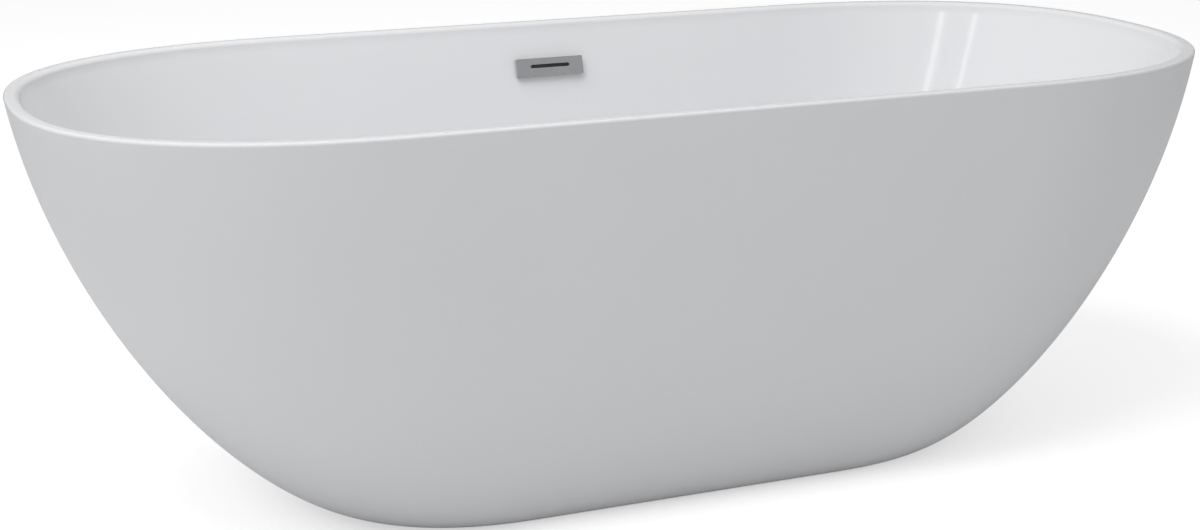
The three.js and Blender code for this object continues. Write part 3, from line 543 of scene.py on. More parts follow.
def isRingEdge(edge, radii, above):  # an edge that lies along one of these circles, above a height
    ends = [vert.co for vert in edge.verts]
    if min(end.z for end in ends) < above or abs(ends[0].z - ends[1].z) > 0.01 * mm:
        return False
    return any(all(abs(end.xy.length - radius) < 0.05 * mm for end in ends) for radius in radii)


def growWasteRecess(start, centre, rimRadius, steps):  # from an oval ring across the floor and into the recess
    last = start
    for i in range(1, basin["floorSteps"] + 1):
        share = i / basin["floorSteps"]
        x, y = start.x + (rimRadius - start.x) * share, start.y + (rimRadius - start.y) * share
        point = Vector((x, y, centre + (start.z - centre) * (1 - share) ** 3))
        growRing(last, point)
        last = point
    bpy.ops.transform.tosphere(value=1.0)
    cage = bmesh.from_edit_mesh(bpy.context.object.data)
    radius = next(vert.co.xy.length for vert in cage.verts if vert.select)
    bpy.ops.transform.resize(value=(rimRadius / radius, rimRadius / radius, 1), center_override=(0, 0, centre))
    for radius, z in steps:
        point = Vector((radius, radius, z))
        growRing(last, point)
        last = point


skirtShell = makeSkirt()
basinShell = makeBasin()
print("the two shells are made")


# shared surface effects

def effectGroup(name, inputs, outputs):
    group = bpy.data.node_groups.new(name, "ShaderNodeTree")
    for socket, kind, value in inputs:
        made = group.interface.new_socket(name=socket, in_out="INPUT", socket_type=kind)
        if value is not None:
            made.default_value = value
    for socket in outputs:
        group.interface.new_socket(name=socket, in_out="OUTPUT", socket_type="NodeSocketFloat")
    return group, group.nodes.new("NodeGroupInput"), group.nodes.new("NodeGroupOutput")


def softPatches():  # cloudy patches, a share from 0 to 1
    group, given, result = effectGroup(
        "soft_patches",
        [("Coordinates", "NodeSocketVector", None), ("Scale", "NodeSocketFloat", 20.0),
         ("Detail", "NodeSocketFloat", 3.0), ("Contrast", "NodeSocketFloat", 2.0)],
        ["Share"])
    noise = group.nodes.new("ShaderNodeTexNoise")
    middle = group.nodes.new("ShaderNodeMath")
    middle.operation = "SUBTRACT"
    middle.inputs[1].default_value = 0.5
    spread = group.nodes.new("ShaderNodeMath")
    spread.operation = "MULTIPLY_ADD"
    spread.inputs[2].default_value = 0.5
    spread.use_clamp = True
    group.links.new(given.outputs["Coordinates"], noise.inputs["Vector"])
    group.links.new(given.outputs["Scale"], noise.inputs["Scale"])
    group.links.new(given.outputs["Detail"], noise.inputs["Detail"])
    group.links.new(noise.outputs["Fac"], middle.inputs[0])
    group.links.new(middle.outputs["Value"], spread.inputs[0])
    group.links.new(given.outputs["Contrast"], spread.inputs[1])
    group.links.new(spread.outputs["Value"], result.inputs["Share"])
    return group


def chipCells():  # crystals or chips: each cell its own share, and a dip at the borders
    group, given, result = effectGroup(
        "chip_cells",
        [("Coordinates", "NodeSocketVector", None), ("Scale", "NodeSocketFloat", 200.0),
         ("Stretch", "NodeSocketVector", (1.0, 1.0, 1.0))],
        ["Share", "Border"])
    stretched = group.nodes.new("ShaderNodeVectorMath")
    stretched.operation = "MULTIPLY"
    cells = group.nodes.new("ShaderNodeTexVoronoi")
    borders = group.nodes.new("ShaderNodeTexVoronoi")
    borders.feature = "DISTANCE_TO_EDGE"
    split = group.nodes.new("ShaderNodeSeparateColor")
    group.links.new(given.outputs["Coordinates"], stretched.inputs[0])
    group.links.new(given.outputs["Stretch"], stretched.inputs[1])
    for texture in (cells, borders):
        group.links.new(stretched.outputs["Vector"], texture.inputs["Vector"])
        group.links.new(given.outputs["Scale"], texture.inputs["Scale"])
    group.links.new(cells.outputs["Color"], split.inputs["Color"])
    group.links.new(split.outputs["Red"], result.inputs["Share"])
    group.links.new(borders.outputs["Distance"], result.inputs["Border"])
    return group


softPatchesGroup = softPatches()
chipCellsGroup = chipCells()


def addEffect(material, group, settings):
    nodes, links = material.node_tree.nodes, material.node_tree.links
    coordinates = nodes.new("ShaderNodeTexCoord")
    effect = nodes.new("ShaderNodeGroup")
    effect.node_tree = group
    links.new(coordinates.outputs["Object"], effect.inputs["Coordinates"])
    for name, value in settings.items():
        effect.inputs[name].default_value = value
    return effect


def addColours(material, share, first, second):
    nodes, links = material.node_tree.nodes, material.node_tree.links
    mix = nodes.new("ShaderNodeMix")
    mix.data_type = "RGBA"
    mix.inputs["A"].default_value = (*first, 1.0)
    mix.inputs["B"].default_value = (*second, 1.0)
    links.new(share, mix.inputs["Factor"])
    links.new(mix.outputs["Result"], nodes["Principled BSDF"].inputs["Base Color"])


def addRoughness(material, share, low, high):
    nodes, links = material.node_tree.nodes, material.node_tree.links
    spread = nodes.new("ShaderNodeMapRange")
    spread.inputs["To Min"].default_value = low
    spread.inputs["To Max"].default_value = high
    links.new(share, spread.inputs["Value"])
    links.new(spread.outputs["Result"], nodes["Principled BSDF"].inputs["Roughness"])


def addBump(material, height, depth, strength=1.0):
    nodes, links = material.node_tree.nodes, material.node_tree.links
    bump = nodes.new("ShaderNodeBump")
    bump.inputs["Strength"].default_value = strength
    bump.inputs["Distance"].default_value = depth
    links.new(height, bump.inputs["Height"])
    links.new(bump.outputs["Normal"], nodes["Principled BSDF"].inputs["Normal"])


def surface(name, look):  # a finish of soft patches in colour and roughness, with a fine grain or crystals
    material = newMaterial(name, look["colour"], look["roughness"][0], look.get("metallic", 0.0),
                           **look.get("constants", {}))
    patches = addEffect(material, softPatchesGroup, {"Scale": look.get("patchScale", 30.0)})
    addRoughness(material, patches.outputs["Share"], *look["roughness"])
    if "cells" in look:
        cells = addEffect(material, chipCellsGroup, look["cells"])
        addColours(material, cells.outputs["Share"], look["colour"], look["second"])
        addBump(material, cells.outputs["Border"], look["grainDepth"])
    else:
        addColours(material, patches.outputs["Share"], look["colour"], look["second"])
        grain = addEffect(material, softPatchesGroup, {"Scale": look["grainScale"], "Detail": 2.0})
        addBump(material, grain.outputs["Share"], look["grainDepth"])
    return material


finishes = {
    "bond_bead": {
        "colour": (0.66, 0.62, 0.52), "second": (0.56, 0.52, 0.42), "roughness": (0.5, 0.75),
        "patchScale": 40.0, "grainScale": 220.0, "grainDepth": 0.0004},
    "chipboard": {
        "colour": (0.46, 0.30, 0.15), "second": (0.63, 0.46, 0.26), "roughness": (0.75, 0.92),
        "cells": {"Scale": 170.0, "Stretch": (1.0, 1.7, 2.2)}, "grainDepth": 0.0005},
    "galvanised_steel": {
        "colour": (0.50, 0.52, 0.54), "second": (0.66, 0.68, 0.70), "roughness": (0.34, 0.55), "metallic": 0.9,
        "cells": {"Scale": 95.0}, "grainDepth": 0.00006},
    "weld_steel": {
        "colour": (0.33, 0.31, 0.29), "second": (0.46, 0.42, 0.38), "roughness": (0.4, 0.6), "metallic": 0.85,
        "patchScale": 260.0, "grainScale": 900.0, "grainDepth": 0.0002},
    "yellow_zinc": {
        "colour": (0.62, 0.56, 0.34), "second": (0.68, 0.60, 0.46), "roughness": (0.28, 0.42), "metallic": 0.95,
        "patchScale": 120.0, "grainScale": 1400.0, "grainDepth": 0.00003},
    "polished_chrome": {
        "colour": (0.60, 0.61, 0.62), "second": (0.56, 0.57, 0.58), "roughness": (0.14, 0.22), "metallic": 1.0,
        "patchScale": 60.0, "grainScale": 500.0, "grainDepth": 0.00001},
    "black_nylon": {
        "colour": (0.022, 0.023, 0.026), "second": (0.032, 0.033, 0.036), "roughness": (0.42, 0.58),
        "patchScale": 90.0, "grainScale": 1500.0, "grainDepth": 0.00008},
    "black_rubber": {
        "colour": (0.018, 0.018, 0.019), "second": (0.030, 0.030, 0.031), "roughness": (0.72, 0.88),
        "patchScale": 70.0, "grainScale": 1100.0, "grainDepth": 0.00012},
    "pipe_plastic": {
        "colour": (0.66, 0.67, 0.68), "second": (0.70, 0.71, 0.72), "roughness": (0.36, 0.5),
        "patchScale": 50.0, "grainScale": 900.0, "grainDepth": 0.00006},
    "stainless_steel": {
        "colour": (0.48, 0.49, 0.50), "second": (0.54, 0.55, 0.56), "roughness": (0.24, 0.36), "metallic": 1.0,
        "patchScale": 100.0, "grainScale": 1300.0, "grainDepth": 0.00002},
}
acrylicLooks = {
    "satin_acrylic": {
        "colour": (0.790, 0.795, 0.812), "second": (0.800, 0.805, 0.820), "roughness": (0.34, 0.40),
        "patchScale": 6.0, "grainScale": 700.0, "grainDepth": 0.000008},
    "gloss_acrylic": {
        "colour": (0.800, 0.805, 0.822), "second": (0.808, 0.812, 0.828), "roughness": (0.11, 0.16),
        "patchScale": 6.0, "grainScale": 9.0, "grainDepth": 0.00004,
        "constants": {"Coat_Weight": 0.25, "Coat_Roughness": 0.06}},
}
materials = {name: surface(name, look) for name, look in finishes.items()}
satinAcrylic = surface("satin_acrylic", acrylicLooks["satin_acrylic"])
glossAcrylic = surface("gloss_acrylic", acrylicLooks["gloss_acrylic"])
print("the finishes are made")


# rim bond: the bead of adhesive between the shells, under the rim

rimBond = {
    "depth": 14.0,
    "clear": 1.0,           # from each shell
    "top": 0.3,             # below the rim's flange
    "bulge": 1.6,           # how far the bead sags
    "ripples": 0.25,
}


def makeRimBond():
    top = flangeUnder - rimBond["top"] * mm
    low = top - rimBond["depth"] * mm
    clear = tub["wall"] + rimBond["clear"] * mm
    outerTop = curveBack(skirtCurve, curveShare(skirtCurve, top), clear)
    outerLow = curveBack(skirtCurve, curveShare(skirtCurve, low), clear)
    innerTop = curveBack(basinCurve, curveShare(basinCurve, top), -clear)
    innerLow = curveBack(basinCurve, curveShare(basinCurve, low), -clear)
    outerTop.z = innerTop.z = top
    outerLow.z = innerLow.z = low
    sag = rimBond["bulge"] * mm
    middle = (outerLow + innerLow) / 2
    path = [outerTop, (outerTop + outerLow) / 2, outerLow,
            Vector((middle.x + (outerLow.x - middle.x) / 2, middle.y + (outerLow.y - middle.y) / 2, low - sag * 0.7)),
            Vector((middle.x, middle.y, low - sag)),
            Vector((middle.x + (innerLow.x - middle.x) / 2, middle.y + (innerLow.y - middle.y) / 2, low - sag * 0.7)),
            innerLow, (innerTop + innerLow) / 2, innerTop]
    piece = startOutline("rim_bead", path[0])
    for last, point in zip(path, path[1:]):
        growRing(last, point)
    pick("edges", lambda middle, edge: edge.is_boundary)
    bpy.ops.mesh.bridge_edge_loops()
    pick("verts", lambda place, vert: place.z < low - 0.2 * mm)
    bpy.ops.transform.vertex_random(offset=rimBond["ripples"] * mm, seed=3)
    mergeAndFaceOut()
    return piece


finishPiece(makeRimBond(), materials["bond_bead"], "bond", "tub", "rim_bond")


# base board

boardSettings = {
    "halfLength": 412.0, "halfWidth": 141.0,
    "low": 120.7, "thickness": 12.0, "edge": 0.8,
    "wasteHole": 46.0, "pilotRadius": 2.4, "pilotDepth": 9.0,
}
railY = 125.0
boardScrewX = (-270.0, 0.0, 270.0)
boardScrewPlaces = [(x, y) for y in (-railY, railY) for x in boardScrewX]


def makeBoard():
    low, thick = boardSettings["low"] * mm, boardSettings["thickness"] * mm
    size = Vector((boardSettings["halfLength"] * mm, boardSettings["halfWidth"] * mm, low))
    piece = startOutline("chipboard_panel", size)
    bpy.ops.mesh.edge_face_add()
    bpy.ops.mesh.extrude_region_move(TRANSFORM_OT_translate={"value": (0, 0, thick)})
    mergeAndFaceOut()
    soften(boardSettings["edge"], angle=60)
    top = boardSettings["low"] + boardSettings["thickness"]
    cutters = [makeRod("waste_cutter", boardSettings["wasteHole"], boardSettings["low"] - 1, top + 1)]
    pilotTop = boardSettings["low"] + boardSettings["pilotDepth"]
    pilot = makeRod("pilot_cutter", boardSettings["pilotRadius"], boardSettings["low"] - 1, pilotTop, 16)
    cutters += [copyOf(pilot, "pilot_copy", (x, y, 0)) for x, y in boardScrewPlaces]
    bpy.data.objects.remove(pilot)
    cutAway(piece, *cutters)
    return piece


finishPiece(makeBoard(), materials["chipboard"], "board", "tub", "base_board")
print("rim bond and base board are made")


# steel frame

frameSettings = {
    "size": 25.0, "wall": 1.5, "corner": 2.6, "low": 95.4,
    "railHalf": 390.0, "footX": 330.0,
    "crossX": {"left_end": -365.0, "left_inner": -105.0, "right_inner": 105.0, "right_end": 365.0},
    "crossHalf": 112.2,
    "screwHole": 2.6, "spindleHole": 6.5, "drillDepth": 4.0,
    "beadRadius": 1.5, "beadStep": 2.2,
}
tubeMiddle = frameSettings["low"] + frameSettings["size"] / 2


def makeSquareTube(name, half):  # along X, its middle at the height of the frame
    size, wall = frameSettings["size"], frameSettings["wall"]
    outer = makeBox(name, (2 * half, size, size), (0, 0, tubeMiddle), frameSettings["corner"], along="X", segments=4)
    inner = makeBox(name + "_bore", (2 * half + 4, size - 2 * wall, size - 2 * wall), (0, 0, tubeMiddle),
                    frameSettings["corner"] - 1.2, along="X", segments=3)
    cutAway(outer, inner)
    return outer


def makeRail():
    rail = makeSquareTube("steel_rail", frameSettings["railHalf"])
    low, high = frameSettings["low"] - 1, frameSettings["low"] + frameSettings["size"] + 1
    drill = makeRod("rail_drill", frameSettings["screwHole"], low, high, 20)
    wide = makeRod("wide_drill", frameSettings["spindleHole"], low, low + frameSettings["drillDepth"], 32)
    tools = [copyOf(drill, "drill_copy", (x, 0, 0)) for x in boardScrewX]
    tools += [copyOf(wide, "wide_copy", (x, 0, 0)) for x in (-frameSettings["footX"], frameSettings["footX"])]
    bpy.data.objects.remove(drill)
    bpy.data.objects.remove(wide)
    cutAway(rail, *tools)
    return rail


rail = makeRail()
for sideName, side in (("front", -1), ("rear", 1)):
    sideRail = copyOf(rail, f"steel_rail_{sideName}", (0, side * railY, 0))
    finishPiece(sideRail, materials["galvanised_steel"], "galvanised", "tub", f"frame_rail_{sideName}")
bpy.data.objects.remove(rail)
crossTube = makeSquareTube("steel_cross", frameSettings["crossHalf"])
quarterTurn = math.pi / 2
for placeName, x in frameSettings["crossX"].items():
    cross = copyOf(crossTube, f"steel_cross_{placeName}", (x, 0, 0), (0, 0, quarterTurn))
    finishPiece(cross, materials["galvanised_steel"], "galvanised", "tub", f"frame_cross_{placeName}")
bpy.data.objects.remove(crossTube)


def makeWeldBead():  # a row of overlapping drops along X
    count = int((frameSettings["size"] - 3) / frameSettings["beadStep"])
    toObjectMode()
    bpy.ops.mesh.primitive_uv_sphere_add(segments=10, ring_count=6, radius=frameSettings["beadRadius"] * mm)
    bead = bpy.context.object
    bead.name = "weld_bead"
    editMesh(bead)
    bpy.ops.transform.resize(value=(1.1, 1.0, 0.45))
    bpy.ops.transform.rotate(value=0.35, orient_axis="Z", center_override=(0, 0, 0))
    start = -(count - 1) / 2 * frameSettings["beadStep"] * mm
    bpy.ops.transform.translate(value=(start, 0, 0))
    applyModifier(bead, "ARRAY", count=count, use_relative_offset=False, use_constant_offset=True,
                  constant_offset_displace=(frameSettings["beadStep"] * mm, 0, 0))
    return bead


bead = makeWeldBead()
for placeName, x in frameSettings["crossX"].items():
    for sideName, side in (("front", -1), ("rear", 1)):
        y = side * (railY - frameSettings["size"] / 2)
        low = copyOf(bead, "low_bead", (x, y, frameSettings["low"]))
        high = copyOf(bead, "high_bead", (x, y, frameSettings["low"] + frameSettings["size"] - 0.35))
        weld = joinPieces(low, high)
        weld.name = f"weld_{placeName}_{sideName}"
        finishPiece(weld, materials["weld_steel"], "galvanised", "tub")
bpy.data.objects.remove(bead)
print("the steel frame is made")


# board screws

boardScrew = {
    "head": 4.5, "headLow": 92.1, "headTop": 95.1,
    "shank": 1.6, "crest": 2.1, "pitch": 1.6, "tip": 128.7,
    "cross": 0.9, "crossDepth": 1.6,
}


def makeBoardScrew():
    head, low, top, tip = (boardScrew[name] for name in ("head", "headLow", "headTop", "tip"))
    shank = boardScrew["shank"]
    screw = makeTurned("board_screw", [(0, low), (head - 1.6, low + 0.1), (head - 0.5, low + 0.8), (head, low + 1.9),
                                       (head, top), (shank, top), (shank, tip - 3), (0, tip)],
                       edge=0.15, segments=40)
    depth, width = boardScrew["crossDepth"], boardScrew["cross"]
    cutters = [makeBox("cross_cutter", size, (0, 0, low + depth / 2 - 0.5), 0.2)
               for size in ((4.6, width, depth + 1), (width, 4.6, depth + 1))]
    cutAway(screw, *cutters)
    thread = makeThread("screw_thread", shank, boardScrew["crest"], boardScrew["pitch"], top + 1, tip - 2, 12)
    return joinPieces(screw, thread)


screw = makeBoardScrew()
for i, (x, y) in enumerate(boardScrewPlaces):
    placed = copyOf(screw, f"frame_screw_{i + 1}", (x, y, 0))
    finishPiece(placed, materials["yellow_zinc"], "zinc_fastener", "tub", f"board_screw_{i + 1}")
bpy.data.objects.remove(screw)
print("the board screws are made")


# levelling feet

foot = {
    "nutFlats": 19.0, "nutHeight": 10.0, "weldNutLow": 85.1, "lockNutLow": 74.8, "nutBore": 6.2,
    "root": 5.2, "crest": 5.9, "pitch": 1.75, "top": 106.4,
    "hexFlats": 14.0, "hexLow": 18.0, "hexHeight": 6.0,
    "ball": 5.7, "ballHeight": 12.0, "neck": 4.2,
    "padLow": 2.3, "padRadius": 25.0, "padRim": 4.0, "padNeck": 10.0, "padTop": 16.0, "socket": 6.3,
    "ribs": 12, "ribWidth": 1.8,
    "soleTop": 2.0,
}


def makeNut(name, low):
    nut = makeHex(name, foot["nutFlats"], low, low + foot["nutHeight"])
    bore, high = foot["nutBore"], low + foot["nutHeight"]
    drill = makeTurned("nut_drill", [(0, low - 1), (bore + 1.8, low - 1), (bore, low + 0.8), (bore, high - 0.8),
                                     (bore + 1.8, high + 1), (0, high + 1)], edge=0, segments=32)
    cutAway(nut, drill)
    return nut


def arcPoints(radius, centre, start, end, steps):  # angles from the top of the ball, in radians
    angles = [start + (end - start) * i / steps for i in range(steps + 1)]
    return [(max(radius * math.sin(angle), 0), centre + radius * math.cos(angle)) for angle in angles]


def makeSpindle():
    hexLow, hexTop = foot["hexLow"], foot["hexLow"] + foot["hexHeight"]
    ball = arcPoints(foot["ball"], foot["ballHeight"], math.pi, math.asin(foot["neck"] / foot["ball"]), 12)
    ball[0] = (0, ball[0][1])
    rod = makeTurned("foot_rod", [*ball, (foot["neck"], hexLow - 0.2), (foot["root"], hexLow + 0.2),
                                  (foot["root"], foot["top"] - 1), (foot["root"] - 1, foot["top"]), (0, foot["top"])],
                     edge=0.15, segments=48)
    collar = makeHex("foot_collar", foot["hexFlats"], hexLow, hexTop)
    thread = makeThread("foot_thread", foot["root"], foot["crest"], foot["pitch"], hexTop + 0.6, foot["top"] - 0.6)
    return joinPieces(rod, collar, thread)


def makePad():
    low, rim, neck, top = foot["padLow"], foot["padRim"], foot["padNeck"], foot["padTop"]
    mouth = math.acos((top - foot["ballHeight"]) / foot["socket"])
    socket = arcPoints(foot["socket"], foot["ballHeight"], mouth, math.pi, 12)
    socket[-1] = (0, socket[-1][1])
    pad = makeTurned("pad_base", [(0, low), (foot["padRadius"], low), (foot["padRadius"], low + rim - 0.6),
                                  (foot["padRadius"] - 0.9, low + rim), (neck + 1.4, low + rim + 1.2),
                                  (neck, top - 3), (neck, top), *socket], edge=0.3)
    rib = makeBox("pad_rib", (13, foot["ribWidth"], 8), (neck + 5.8, 0, low + rim + 2.6), 0.5)
    pick("verts", lambda middle, vert: middle.x > (neck + 8) * mm and middle.z > (low + rim + 2) * mm)
    bpy.ops.transform.translate(value=(0, 0, -5.6 * mm))
    return joinPieces(pad, *aroundAxis(rib, foot["ribs"]))


def makeSole():
    high, radius = foot["soleTop"], foot["padRadius"] - 1
    profile = [(0, 0.5)]
    for i in range(5):
        inner = 3 + 4 * i
        profile += [(inner, 0.5), (inner + 0.4, 0), (inner + 2.8, 0), (inner + 3.2, 0.5)]
    profile += [(radius - 0.8, 0.5), (radius, 1.2), (radius, high), (0, high)]
    return makeTurned("rubber_sole", profile, edge=0.12)


footModels = {
    "weld_nut": (makeNut("nut_welded", foot["weldNutLow"]), "galvanised_steel", "galvanised", "tub"),
    "lock_nut": (makeNut("nut_locking", foot["lockNutLow"]), "yellow_zinc", "zinc_fastener", "tub"),
    "spindle": (makeSpindle(), "yellow_zinc", "zinc_fastener", "spindle"),
    "pad": (makePad(), "black_nylon", "black_nylon", "pad"),
    "sole": (makeSole(), "black_rubber", "rubber", "pad"),
}
for endName, end in (("left", -1), ("right", 1)):
    for sideName, side in (("front", -1), ("rear", 1)):
        tag = f"{sideName}_{endName}"
        for kind, (model, look, slotName, body) in footModels.items():
            placed = copyOf(model, f"level_{kind}_{tag}", (end * frameSettings["footX"], side * railY, 0))
            bodyName = body if body == "tub" else f"{body}_{tag}"
            finishPiece(placed, materials[look], slotName, bodyName, f"foot_{kind}_{tag}")
for model, *_ in footModels.values():
    bpy.data.objects.remove(model)
print("the levelling feet are made")


# waste fitting

waste = {
    "flange": 33.0, "flangeLow": 136.6, "flangeTop": 138.6, "seat": 27.0, "seatDepth": 5.3,
    "tail": 23.9, "tailRoot": 23.3, "bore": 20.5, "tailEnd": 84.6, "pitch": 2.3,
    "boss": 11.0, "bossBore": 8.9, "crossHeight": 6.0, "spoke": 3.0,
    "collar": 34.0, "body": 30.0, "inner": 27.0, "bodyTop": 126.4, "bodyFloor": 58.0,
    "outlet": 19.0, "outletBore": 16.5, "outletEnd": 44.0, "bodyRibs": 12,
    "port": 9.5, "portBore": 7.7, "portHeight": 75.0, "portReach": 84.0,
    "tailpiece": 16.0, "tailpieceBore": 14.2, "tailpieceEnd": 20.0, "tailpieceTop": 43.7,
    "nutLow": 37.4, "nutTop": 50.4, "nutLip": 3.0, "nutBore": 16.3, "nutThread": 19.3, "nutOuter": 21.9,
    "nutLugs": 10,
    "barbs": ((66.0, 0.5), (71.0, 0.6), (76.0, 0.6)),
    "topSeal": {"inner": 24.9, "outer": 32.0, "low": 134.3, "thick": 2.0},
    "bottomSeal": {"inner": 26.0, "outer": 34.0, "low": 126.7, "thick": 2.0},
}


def makeWasteFlange():
    end, low, top = waste["tailEnd"], waste["flangeLow"], waste["flangeTop"]
    shell = makeTurned("waste_flange", [
        (waste["bore"], end), (waste["tailRoot"], end), (waste["tailRoot"], low), (waste["flange"], low),
        (waste["flange"], top - 1.1), (waste["flange"] - 0.5, top - 0.45), (waste["flange"] - 1.5, top - 0.08),
        (waste["flange"] - 2.6, top), (waste["seat"] + 0.5, top), (waste["seat"] - 0.3, top - 0.3),
        (waste["bore"], top - waste["seatDepth"])], edge=0.2)
    thread = makeThread("flange_thread", waste["tailRoot"], waste["tail"], waste["pitch"], end + 1, low - 12)
    boss = makeTurned("flange_boss", [(waste["bossBore"], end), (waste["boss"], end),
                                      (waste["boss"], end + waste["crossHeight"]),
                                      (waste["bossBore"], end + waste["crossHeight"])], edge=0.4)
    start, reach = waste["boss"] - 1, waste["bore"] + 1.4
    spokes = []
    for i in range(4):
        spoke = makeBox("flange_spoke", (reach - start, waste["spoke"], waste["crossHeight"]),
                        ((reach + start) / 2, 0, end + waste["crossHeight"] / 2), 0.8, along="X", segments=3)
        applyPlace(spoke, turn=(0, 0, quarterTurn * i))
        spokes.append(spoke)
    return joinPieces(shell, thread, boss, *spokes)


def makeFlatSeal(name, inner, outer, low, thick):  # a rubber ring with pressed grooves
    middle, groove = (inner + outer) / 2, min((outer - inner) / 7, 0.8)
    top = low + thick
    marks = [middle + step * 2.6 * groove for step in (-1, 0, 1)]
    profile = [(inner, low), (outer, low), (outer, top)]
    for mark in reversed(marks):
        profile += [(mark + groove, top), (mark + groove / 2, top - 0.3), (mark - groove / 2, top - 0.3),
                    (mark - groove, top)]
    return makeTurned(name, [*profile, (inner, top)], edge=0.12)


def makeWasteBody():
    top, floor, inner, outer = waste["bodyTop"], waste["bodyFloor"], waste["inner"], waste["body"]
    neck = waste["tail"] + 0.3
    cup = makeTurned("waste_cup", [
        (neck, top), (neck, top - 12), (inner, top - 15), (inner, floor + 6), (inner - 3, floor + 3),
        (waste["outletBore"], floor + 3), (waste["outletBore"], waste["outletEnd"]),
        (waste["outlet"] - 0.7, waste["outletEnd"]), (waste["outlet"] - 0.7, floor - 2), (waste["outlet"] + 1, floor),
        (outer - 3, floor), (outer, floor + 3), (outer, top - 5), (outer + 1, top - 4), (waste["collar"], top - 4),
        (waste["collar"], top)], edge=0.5, bevels=3)
    radius, reach = waste["port"], waste["portReach"]
    barbs = []
    for start, depth in waste["barbs"]:
        barbs += [(radius - depth, start), (radius, start + 0.4)]
    port = makeTurned("waste_port", [(0, inner - 1.5), (radius + 1.5, inner - 1.5), (radius + 1.5, outer + 2),
                                     (radius - 0.5, outer + 4), *barbs, (radius - 1, reach), (0, reach)],
                      edge=0.2, segments=48)
    applyPlace(port, (0, 0, waste["portHeight"]), (-quarterTurn, 0, 0))
    well = makeRod("well_cutter", inner, floor + 6, top - 15)
    cutAway(port, well)
    cutAway(cup, port, operation="UNION")
    bore = makeRod("port_cutter", waste["portBore"], 20, reach + 2, 32)
    applyPlace(bore, (0, 0, waste["portHeight"]), (-quarterTurn, 0, 0))
    cutAway(cup, bore)
    outlet = waste["outlet"]
    extras = [makeThread("outlet_thread", outlet - 0.7, outlet, 2.6, waste["outletEnd"] + 1, floor - 3)]
    rib = makeBox("body_rib", (3.4, 2.0, 30), (outer + 0.4, 0, top - 24), 0.6)
    return joinPieces(cup, *extras, *aroundAxis(rib, waste["bodyRibs"], 0.5))


def makeTailpiece():
    bore, radius, end, top = (waste[name] for name in ("tailpieceBore", "tailpiece", "tailpieceEnd", "tailpieceTop"))
    return makeTurned("waste_tailpiece", [
        (bore, end + 0.8), (bore + 0.6, end), (radius - 0.4, end), (radius, end + 0.6), (radius, top - 3),
        (17.75, top - 3), (17.75, top), (bore, top)], edge=0.2)


def makeOutletNut():
    low, top, lip = waste["nutLow"], waste["nutTop"], waste["nutLow"] + waste["nutLip"]
    bore, thread, outer = waste["nutBore"], waste["nutThread"], waste["nutOuter"]
    ring = makeTurned("waste_nut", [(bore, low), (outer - 0.7, low), (outer, low + 1), (outer, top - 1.6),
                                    (outer + 0.7, top - 1.2), (outer + 0.7, top), (thread, top), (thread, lip),
                                    (bore, lip)], edge=0.35, bevels=3)
    lug = makeBox("nut_lug", (2.2, 3.2, top - low - 2.2), (outer, 0, (low + top) / 2 - 0.4), 0.7, segments=3)
    lugs = aroundAxis(lug, waste["nutLugs"])
    return joinPieces(ring, *lugs)


finishPiece(makeWasteFlange(), materials["polished_chrome"], "chrome", "tub", "drain_flange")
for sealName, node in (("topSeal", "drain_top_seal"), ("bottomSeal", "drain_bottom_seal")):
    seal = makeFlatSeal(node.replace("drain", "waste"), **waste[sealName])
    finishPiece(seal, materials["black_rubber"], "rubber", "tub", node)
finishPiece(makeWasteBody(), materials["pipe_plastic"], "pipe_plastic", "tub", "drain_body")
finishPiece(makeTailpiece(), materials["pipe_plastic"], "pipe_plastic", "tub", "drain_tailpiece")
finishPiece(makeOutletNut(), materials["black_nylon"], "black_nylon", "tub", "drain_outlet_nut")
print("the waste fitting is made")


# plug

plug = {
    "cap": 31.0, "capLow": 138.9, "capTop": 143.4, "boss": 7.0, "bossLow": 133.5,
    "stem": 3.5, "stemLow": 96.6, "stemTop": 141.1, "collar": 6.4, "collarLow": 114.6, "collarTop": 116.6,
    "barrel": 8.6, "barrelBore": 7.2, "barrelLow": 84.6, "barrelTop": 128.6, "lip": 2.0, "base": 2.0,
    "hexFlats": 20.0, "hexLow": 90.9, "hexHeight": 4.0,
    "spring": 5.2, "wire": 0.5, "turns": 6, "springLow": 87.4, "springTop": 113.8,
    "sealLow": 134.4, "sealTop": 138.4, "sealClear": 1.0,
}


def makeCap():
    radius, low, top = plug["cap"], plug["capLow"], plug["capTop"]
    dome = [(radius * share, top - 1.2 * share ** 2.6) for share in (0.85, 0.7, 0.55, 0.4, 0.25, 0.1)]
    roof = plug["stemTop"] + 0.3
    return makeTurned("plug_dome", [
        (plug["stem"] + 0.3, plug["bossLow"]), (plug["boss"], plug["bossLow"]), (plug["boss"], low),
        (radius - 0.4, low), (radius, low + 0.5), (radius, low + 1.4), (radius - 0.5, low + 2.3),
        (radius - 1.6, low + 3.0), *dome, (0, top), (0, roof), (plug["stem"] + 0.3, roof)], edge=0.2)


def makePlugSeal():
    low, top, inner = plug["sealLow"], plug["sealTop"], plug["boss"] + 0.3
    rise = (waste["seat"] - waste["bore"]) / waste["seatDepth"]

    def edgeAt(z):
        return waste["bore"] + rise * (z - waste["flangeTop"] + waste["seatDepth"]) - plug["sealClear"]

    return makeTurned("plug_gasket", [
        (inner + 4, low), (edgeAt(low) - 1, low), (edgeAt(low), low + 0.6), (edgeAt(low + 1.4) - 0.5, low + 1.4),
        (edgeAt(low + 2.2), low + 2.2), (edgeAt(low + 3) - 0.5, low + 3), (edgeAt(top) - 0.4, top - 0.3),
        (edgeAt(top) - 1.2, top), (inner, top), (inner, low + 2)], edge=0.1)


